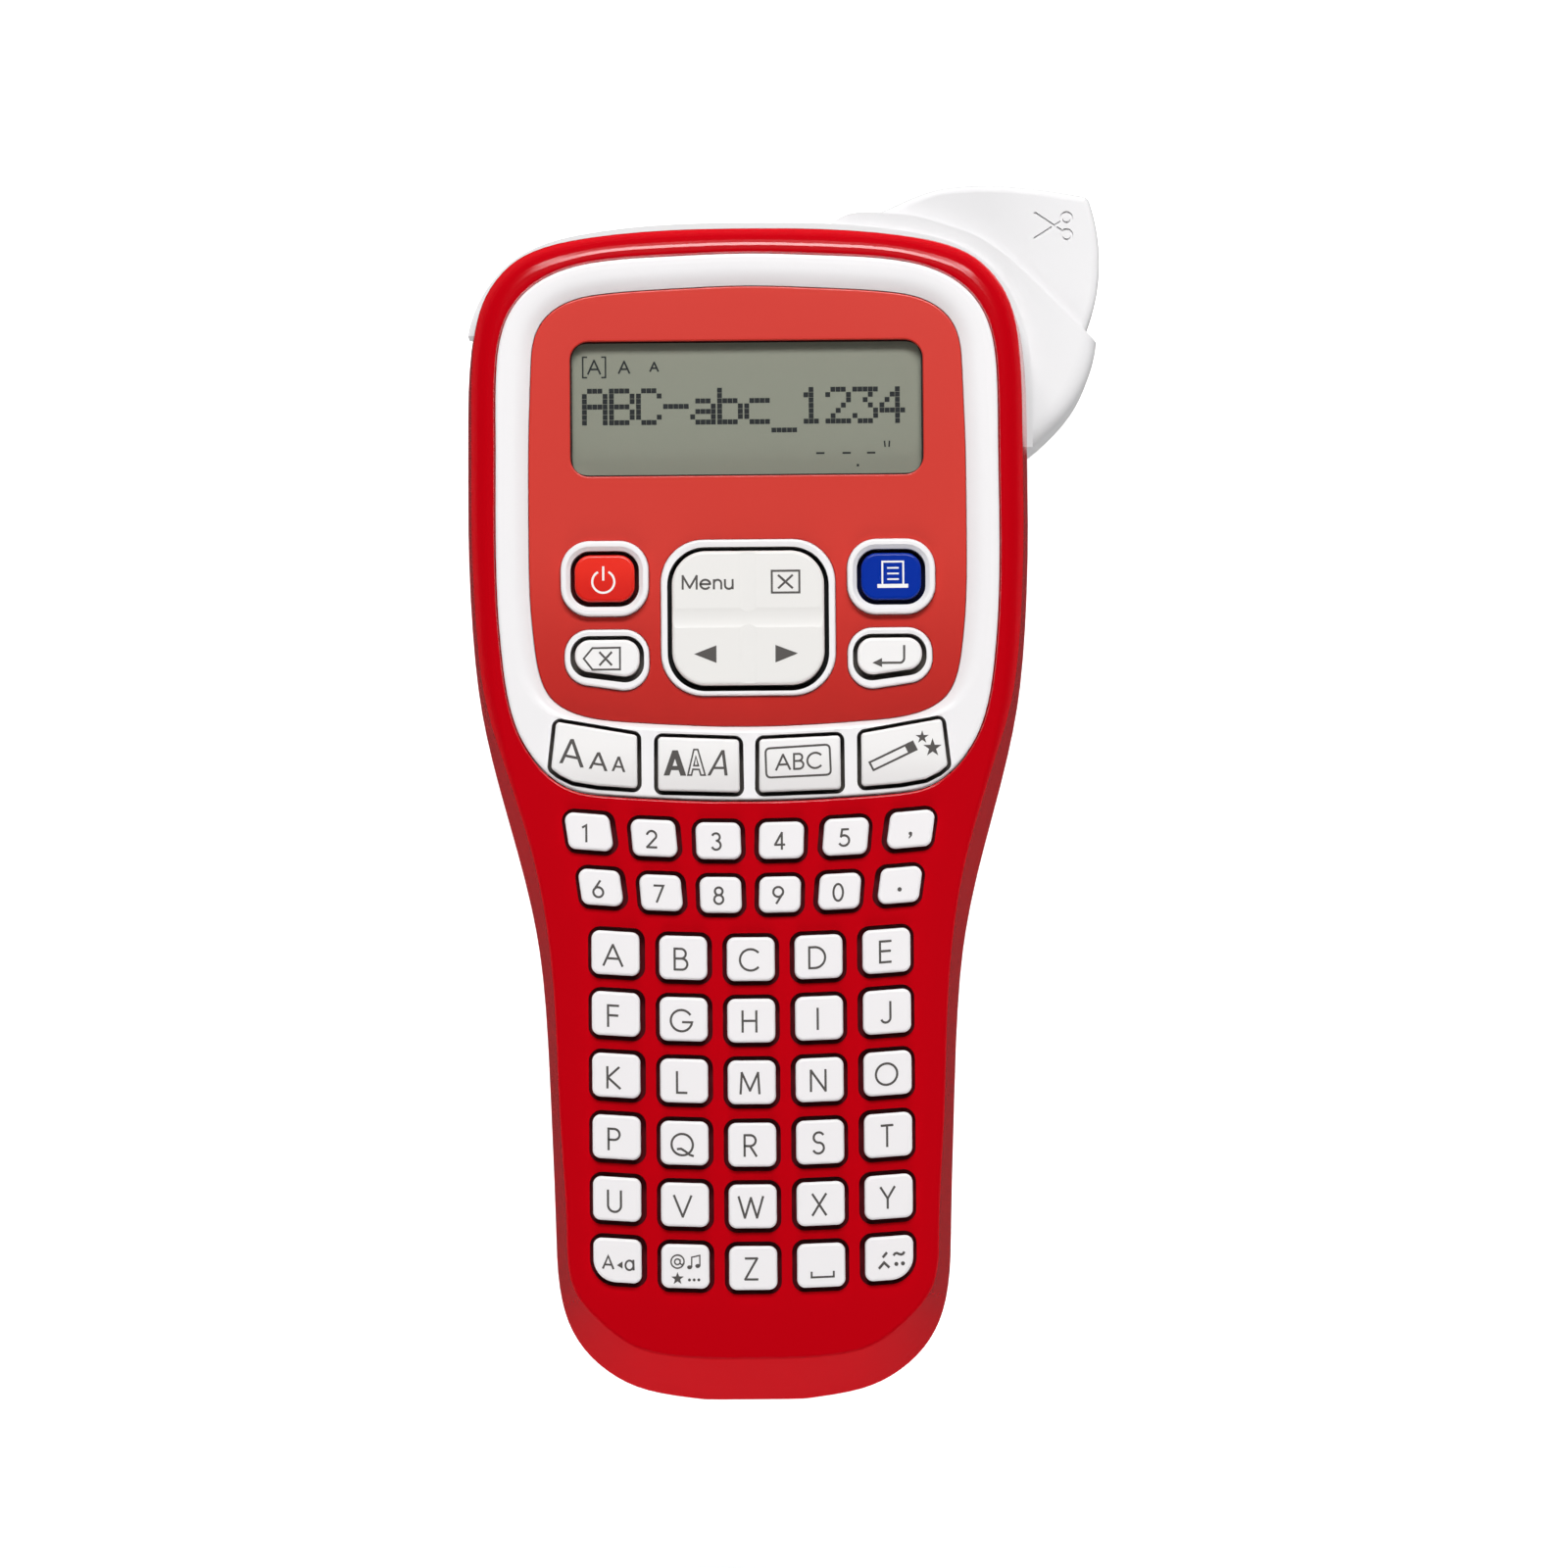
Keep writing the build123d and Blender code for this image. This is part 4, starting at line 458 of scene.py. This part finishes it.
letter_x = (-22.5, -11.25, 0.0, 11.28, 22.57)
letter_rows = [("ABCDE", -74.63, 1.13), ("FGHIJ", -84.87, 1.25), ("KLMNO", -95.12, 1.26), ("PQRST", -105.48, 1.38),
               ("UVWXY", -115.7, 1.36), ("??Z??", -125.9, 1.38)]
for i, (chars, middle, rise) in enumerate(letter_rows):
    name = "letter_row_%d_keys" % (i + 1)
    sign = Sign(face_top)
    for ch, x in zip(chars, letter_x):
        y = middle + rise * (x / 22.5) ** 2 + 0.05 * abs(x) / 22.5
        if ch != "?":
            sign.text(ch, x - 0.3 + 0.006 * x, y - 0.16 + 0.0095 * min(x, 0.0), 3.47, 0.37, slope * x)
    if i == 5:
        # capital and small letters
        sign.stroke([(-24.94, -125.8), (-24.04, -123.7), (-23.17, -125.92)], 0.34)
        sign.stroke([(-24.66, -125.12), (-23.46, -125.2)], 0.3)
        sign.fill([(-22.6, -125.26), (-21.66, -125.84), (-21.66, -124.65)])
        sign.stroke(arc(-20.52, -125.3, 0.66, 0, 360, 0.78), 0.32)
        sign.stroke([(-19.86, -124.4), (-19.83, -126.15)], 0.32)
        # signs
        sign.stroke(arc(-12.54, -124.75, 1.08, -60, 300), 0.24)
        sign.stroke(arc(-12.56, -124.78, 0.46, 0, 360), 0.24)
        sign.stroke([(-12.12, -124.4), (-12.1, -125.05), (-11.85, -125.3), (-11.55, -125.1), (-11.47, -124.75)], 0.22)
        for x, y in ((-10.55, -125.7), (-9.2, -125.5)):
            sign.fill([(x + 0.42 * math.cos(2 * math.pi * k / 14), y + 0.33 * math.sin(2 * math.pi * k / 14)) for k in range(14)])
        sign.stroke([(-10.2, -125.7), (-10.2, -124.05), (-8.85, -123.75), (-8.85, -125.5)], 0.22)
        sign.star(-12.56, -127.56, 1.08)
        for x in (-10.59, -9.81, -9.04):
            sign.dot(x, -127.8, 0.24)
        # space
        sign.stroke([(9.68, -126.6), (9.67, -127.55), (13.35, -127.42), (13.36, -126.48)], 0.32)
        # accents
        sign.stroke([(21.5, -124.35), (22.2, -123.5)], 0.42)
        sign.stroke([(23.28, -124.05), (23.5, -123.72), (23.85, -123.62), (24.2, -123.78), (24.55, -123.88), (24.88, -123.75), (25.1, -123.4)], 0.4)
        sign.stroke([(20.83, -126.2), (21.72, -125.2), (22.59, -126.02)], 0.42)
        sign.dot(23.74, -125.43, 0.34)
        sign.dot(24.83, -125.34, 0.34)
    sign.piece("legend_" + name, name, ink_grey)

# function keys
sign = Sign(56.0)
for (x0, y0), (x1, y1), (xt, yt), w in (((-31.4, -41.72), (-27.9, -42.45), (-29.52, -37.95), 0.52),
                                       ((-26.55, -42.68), (-23.9, -43.08), (-25.1, -40.2), 0.44),
                                       ((-22.75, -43.1), (-20.87, -43.28), (-21.75, -40.95), 0.36)):
    sign.capital_a((x0, y0), (x1, y1), (xt, yt + 0.25), w * 1.15, w * 1.1, 0.32, w * 0.85)
sign.piece("legend_size", "size_key", ink_grey)

sign = Sign(56.0)
sign.capital_a((-13.8, -43.92), (-11.0, -43.98), (-12.35, -39.72), 0.98, 0.92, 0.3, 0.7)
sign.stroke([(-10.25, -43.88), (-9.22, -39.62), (-8.57, -39.62), (-7.37, -43.9), (-8.09, -43.9), (-8.35, -42.95), (-9.42, -42.93), (-9.65, -43.88), (-10.25, -43.88)], 0.27)
sign.stroke([(-9.25, -42.3), (-8.9, -40.75), (-8.49, -42.32), (-9.25, -42.3)], 0.27)
sign.capital_a((-6.75, -43.98), (-3.87, -44.0), (-4.37, -39.75), 0.52, 0.5, 0.3, 0.38)
sign.piece("legend_style", "style_key", ink_grey)

sign = Sign(56.0)
sign.stroke(round_rect([(2.7, -39.55), (13.4, -38.95), (13.6, -43.98), (2.85, -44.42)], 0.8), 0.34)
sign.text("ABC", 8.2, -41.72, 2.5, 0.34, 0.045, gap=0.26, stretch=1.03)
sign.piece("legend_frame", "frame_key", ink_grey)

sign = Sign(56.0)
sign.stroke([(20.05, -42.0), (20.7, -43.3), (27.9, -39.9), (27.25, -38.6), (20.05, -42.0)], 0.34)
sign.fill([(25.9, -39.24), (26.55, -40.54), (27.9, -39.9), (27.25, -38.6)])
sign.star(28.87, -37.85, 1.15, 0.38)
sign.star(30.58, -39.64, 1.6, 0.38)
sign.piece("legend_decor", "decor_key", ink_grey)

sign = Sign(55.1)
sign.stroke([(-27.51, -24.2), (-26.06, -22.45), (-21.46, -22.4), (-21.46, -26.05), (-26.06, -26.05), (-27.51, -24.2)], 0.32)
sign.stroke([(-24.91, -23.1), (-22.81, -25.35)], 0.36)
sign.stroke([(-22.81, -23.1), (-24.91, -25.35)], 0.36)
sign.piece("legend_delete", "delete_key", ink_grey)

sign = Sign(55.1)
sign.stroke([(26.02, -22.35), (26.0, -24.5)] + arc(25.3, -24.5, 0.7, 0, -90, 0.8) + [(22.0, -25.3)], 0.37)
sign.fill([(20.7, -25.27), (22.3, -26.02), (22.3, -24.5)])
sign.piece("legend_enter", "enter_key", ink_grey)

power_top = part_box("power_key")[1].z / MM
sign = Sign(power_top)
sign.stroke(arc(-24.2, -11.25, 1.85, 118, 422), 0.36)
sign.stroke([(-24.2, -8.65), (-24.2, -11.05)], 0.36)
sign.piece("legend_power", "power_key", ink_white)

sign = Sign(power_top)
sign.stroke([(22.5, -8.25), (26.0, -8.25), (26.0, -12.25), (22.5, -12.25), (22.5, -8.25)], 0.3)
sign.fill([(21.65, -12.0), (26.8, -12.0), (26.8, -12.65), (21.65, -12.65)])
for y in (-9.3, -10.25, -11.2):
    sign.stroke([(23.3, y), (25.25, y)], 0.27)
sign.piece("legend_print", "print_key", ink_white)

sign = Sign(55.3)
sign.text("mxyz", -6.72, -11.58, 2.2, 0.34, 0.0, gap=0.27, stretch=1.04)
sign.stroke([(4.0, -9.75), (8.6, -9.75), (8.6, -13.4), (4.0, -13.4), (4.0, -9.75)], 0.34)
sign.stroke([(5.05, -10.45), (7.5, -12.7)], 0.36)
sign.stroke([(7.5, -10.45), (5.05, -12.7)], 0.36)
sign.fill([(-9.05, -23.6), (-5.34, -25.12), (-5.34, -22.17)])
sign.fill([(8.26, -23.6), (4.51, -22.17), (4.51, -25.12)])
sign.piece("legend_nav", "nav_pad", ink_grey)

# ------------------------------------------------------------------ what the display shows
DOTS = {
    "A": ("01110", "10001", "10001", "11111", "10001", "10001", "10001"),
    "B": ("11110", "10001", "10001", "11110", "10001", "10001", "11110"),
    "C": ("01110", "10001", "10000", "10000", "10000", "10001", "01110"),
    "a": ("00000", "00000", "01110", "00001", "01111", "10001", "01111"),
    "b": ("10000", "10000", "11110", "10001", "10001", "10001", "11110"),
    "c": ("00000", "00000", "01111", "10000", "10000", "10000", "01111"),
    "-": ("00000", "00000", "00000", "11111", "00000", "00000", "00000"),
    "_": ("00000", "00000", "00000", "00000", "00000", "00000", "00000"),
    "1": ("00100", "01100", "00100", "00100", "00100", "00100", "01110"),
    "2": ("01110", "10001", "00001", "00010", "00100", "01000", "11111"),
    "3": ("11111", "00010", "00100", "00010", "00001", "10001", "01110"),
    "4": ("00010", "00110", "01010", "10010", "11111", "00010", "00010"),
}
lcd_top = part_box("lcd_module")[1].z / MM
sign = Sign(lcd_top, 0.02)
dot_x, dot_y, char_x = 0.87, 0.893, 4.545
half_x, half_y = 0.405, 0.415


def lcd_dot(x, y, hx, hy):
    sign.fill([(x - hx, y - hy), (x + hx, y - hy), (x + hx, y + hy), (x - hx, y + hy)])


for k, ch in enumerate("ABC-abc_1234"):
    for r, line in enumerate(DOTS[ch]):
        for c, on in enumerate(line):
            if on == "1":
                lcd_dot(-27.7 + char_x * k + dot_x * (c + 0.5), 21.65 - dot_y * (r + 0.5), half_x, half_y)
for c in range(5):
    lcd_dot(-27.7 + char_x * 7 + dot_x * (c + 0.5), 14.4, half_x, half_y * 0.95)
for x in (12.32, 16.73, 20.85):
    lcd_dot(x, 10.45, 0.7, 0.16)
lcd_dot(18.6, 8.36, 0.2, 0.2)
sign.stroke([(23.1, 12.46), (23.2, 11.4)], 0.26)
sign.stroke([(23.95, 12.46), (23.85, 11.4)], 0.26)
sign.stroke([(-26.75, 26.95), (-27.5, 26.95), (-27.5, 23.5), (-26.75, 23.5)], 0.26)
sign.stroke([(-24.4, 26.95), (-23.68, 26.95), (-23.68, 23.5), (-24.4, 23.5)], 0.26)
for x, y, h in ((-25.6, 25.25, 2.3), (-20.55, 25.2, 2.0), (-15.5, 25.25, 1.5)):
    sign.text("A", x, y, h, 0.3)
sign.piece("lcd_signs", "case", lcd_dark)

# dark line round the edge of the display window
sign = Sign(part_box("display_lens")[1].z / MM, 0.02)
sign.stroke(round_rect([(-29.55, 6.6), (29.55, 6.6), (29.55, 29.3), (-29.55, 29.3)], 3.1, 10), 0.5)
sign.piece("window_edge", "case", edge_dark)

# the strong red of the shell does not tint the white pieces beside it
nodes["front_shell"].visible_diffuse = False

# ------------------------------------------------------------------ stage
floor_mesh = bpy.data.meshes.new("floor")
reach = 6.0
floor_mesh.from_pydata([(-reach, -reach, -0.0004), (reach, -reach, -0.0004), (reach, reach, -0.0004), (-reach, reach, -0.0004)], [], [(0, 1, 2, 3)])
floor = bpy.data.objects.new("floor", floor_mesh)
bpy.context.scene.collection.objects.link(floor)
pale = material("floor_pale", rgb(246, 246, 246), rough=0.9, rough_spread=0.04, shade=0.995, blotch=3, bump=0.0, specular=0.05)
shader = next(n for n in pale.node_tree.nodes if n.type == "BSDF_PRINCIPLED")
shader.inputs["Emission Color"].default_value = (1, 1, 1, 1)
shader.inputs["Emission Strength"].default_value = 0.6
floor_mesh.materials.append(pale)
floor.visible_glossy = False

world = bpy.data.worlds.new("studio")
world.use_nodes = True
# pale below, dark from the horizon up
sky = world.node_tree
around = sky.nodes.new("ShaderNodeTexCoord")
height = sky.nodes.new("ShaderNodeSeparateXYZ")
level = sky.nodes.new("ShaderNodeMapRange")
level.interpolation_type = "SMOOTHSTEP"
level.inputs["From Min"].default_value = -0.55
level.inputs["From Max"].default_value = 0.1
level.inputs["To Min"].default_value = 0.04
level.inputs["To Max"].default_value = 0.012
sky.links.new(around.outputs["Generated"], height.inputs["Vector"])
sky.links.new(height.outputs["Z"], level.inputs["Value"])
sky.links.new(level.outputs["Result"], sky.nodes["Background"].inputs["Strength"])
sky.nodes["Background"].inputs["Color"].default_value = (1, 1, 1, 1)
bpy.context.scene.world = world
bpy.context.scene.view_settings.view_transform = "Standard"
bpy.context.scene.view_settings.look = "None"


def softbox(name, place, aim, size_x, size_y, power):
    data = bpy.data.lights.new(name, "AREA")
    data.shape = "RECTANGLE"
    data.size, data.size_y, data.energy = size_x, size_y, power
    obj = bpy.data.objects.new(name, data)
    obj.location = place
    obj.rotation_euler = (Vector(aim) - Vector(place)).to_track_quat("-Z", "Y").to_euler()
    bpy.context.scene.collection.objects.link(obj)
    return obj


softbox("light_top", (0.08, 0.76, 0.98), (0, -0.02, 0.05), 0.9, 0.28, 14.2)
for name, place, power in (("fill_front", (-0.06, -1.05, 0.55), 5.6), ("fill_left", (-1.0, -0.35, 0.3), 1.2),
                           ("fill_right", (1.0, -0.35, 0.3), 0.6), ("fill_back", (0.0, 0.6, 1.1), 2.7)):
    # soft light from the sides that leaves no reflections
    softbox(name, place, (0, -0.05, 0.04), 0.6, 0.6, power).visible_glossy = False

# ------------------------------------------------------------------ camera
tau, turn = math.radians(3.5), math.radians(0.467)
ahead = Vector((0, math.sin(tau), -math.cos(tau)))
side0, up0 = Vector((1, 0, 0)), Vector((0, math.cos(tau), math.sin(tau)))
side = side0 * math.cos(turn) - up0 * math.sin(turn)
up = side0 * math.sin(turn) + up0 * math.cos(turn)
camera_data = bpy.data.cameras.new("camera")
camera_data.sensor_width = 36
camera_data.lens = 151.791
camera_data.clip_start = 0.05
camera_data.clip_end = 50
camera = bpy.data.objects.new("camera", camera_data)
camera.matrix_world = Matrix((
    (side.x, up.x, -ahead.x, 5.7605 * MM),
    (side.y, up.y, -ahead.y, -112.7684 * MM),
    (side.z, up.z, -ahead.z, 1155.8923 * MM),
    (0, 0, 0, 1),
))
bpy.context.scene.collection.objects.link(camera)
bpy.context.scene.camera = camera

# ------------------------------------------------------------------ update the scene
bpy.context.view_layer.update()
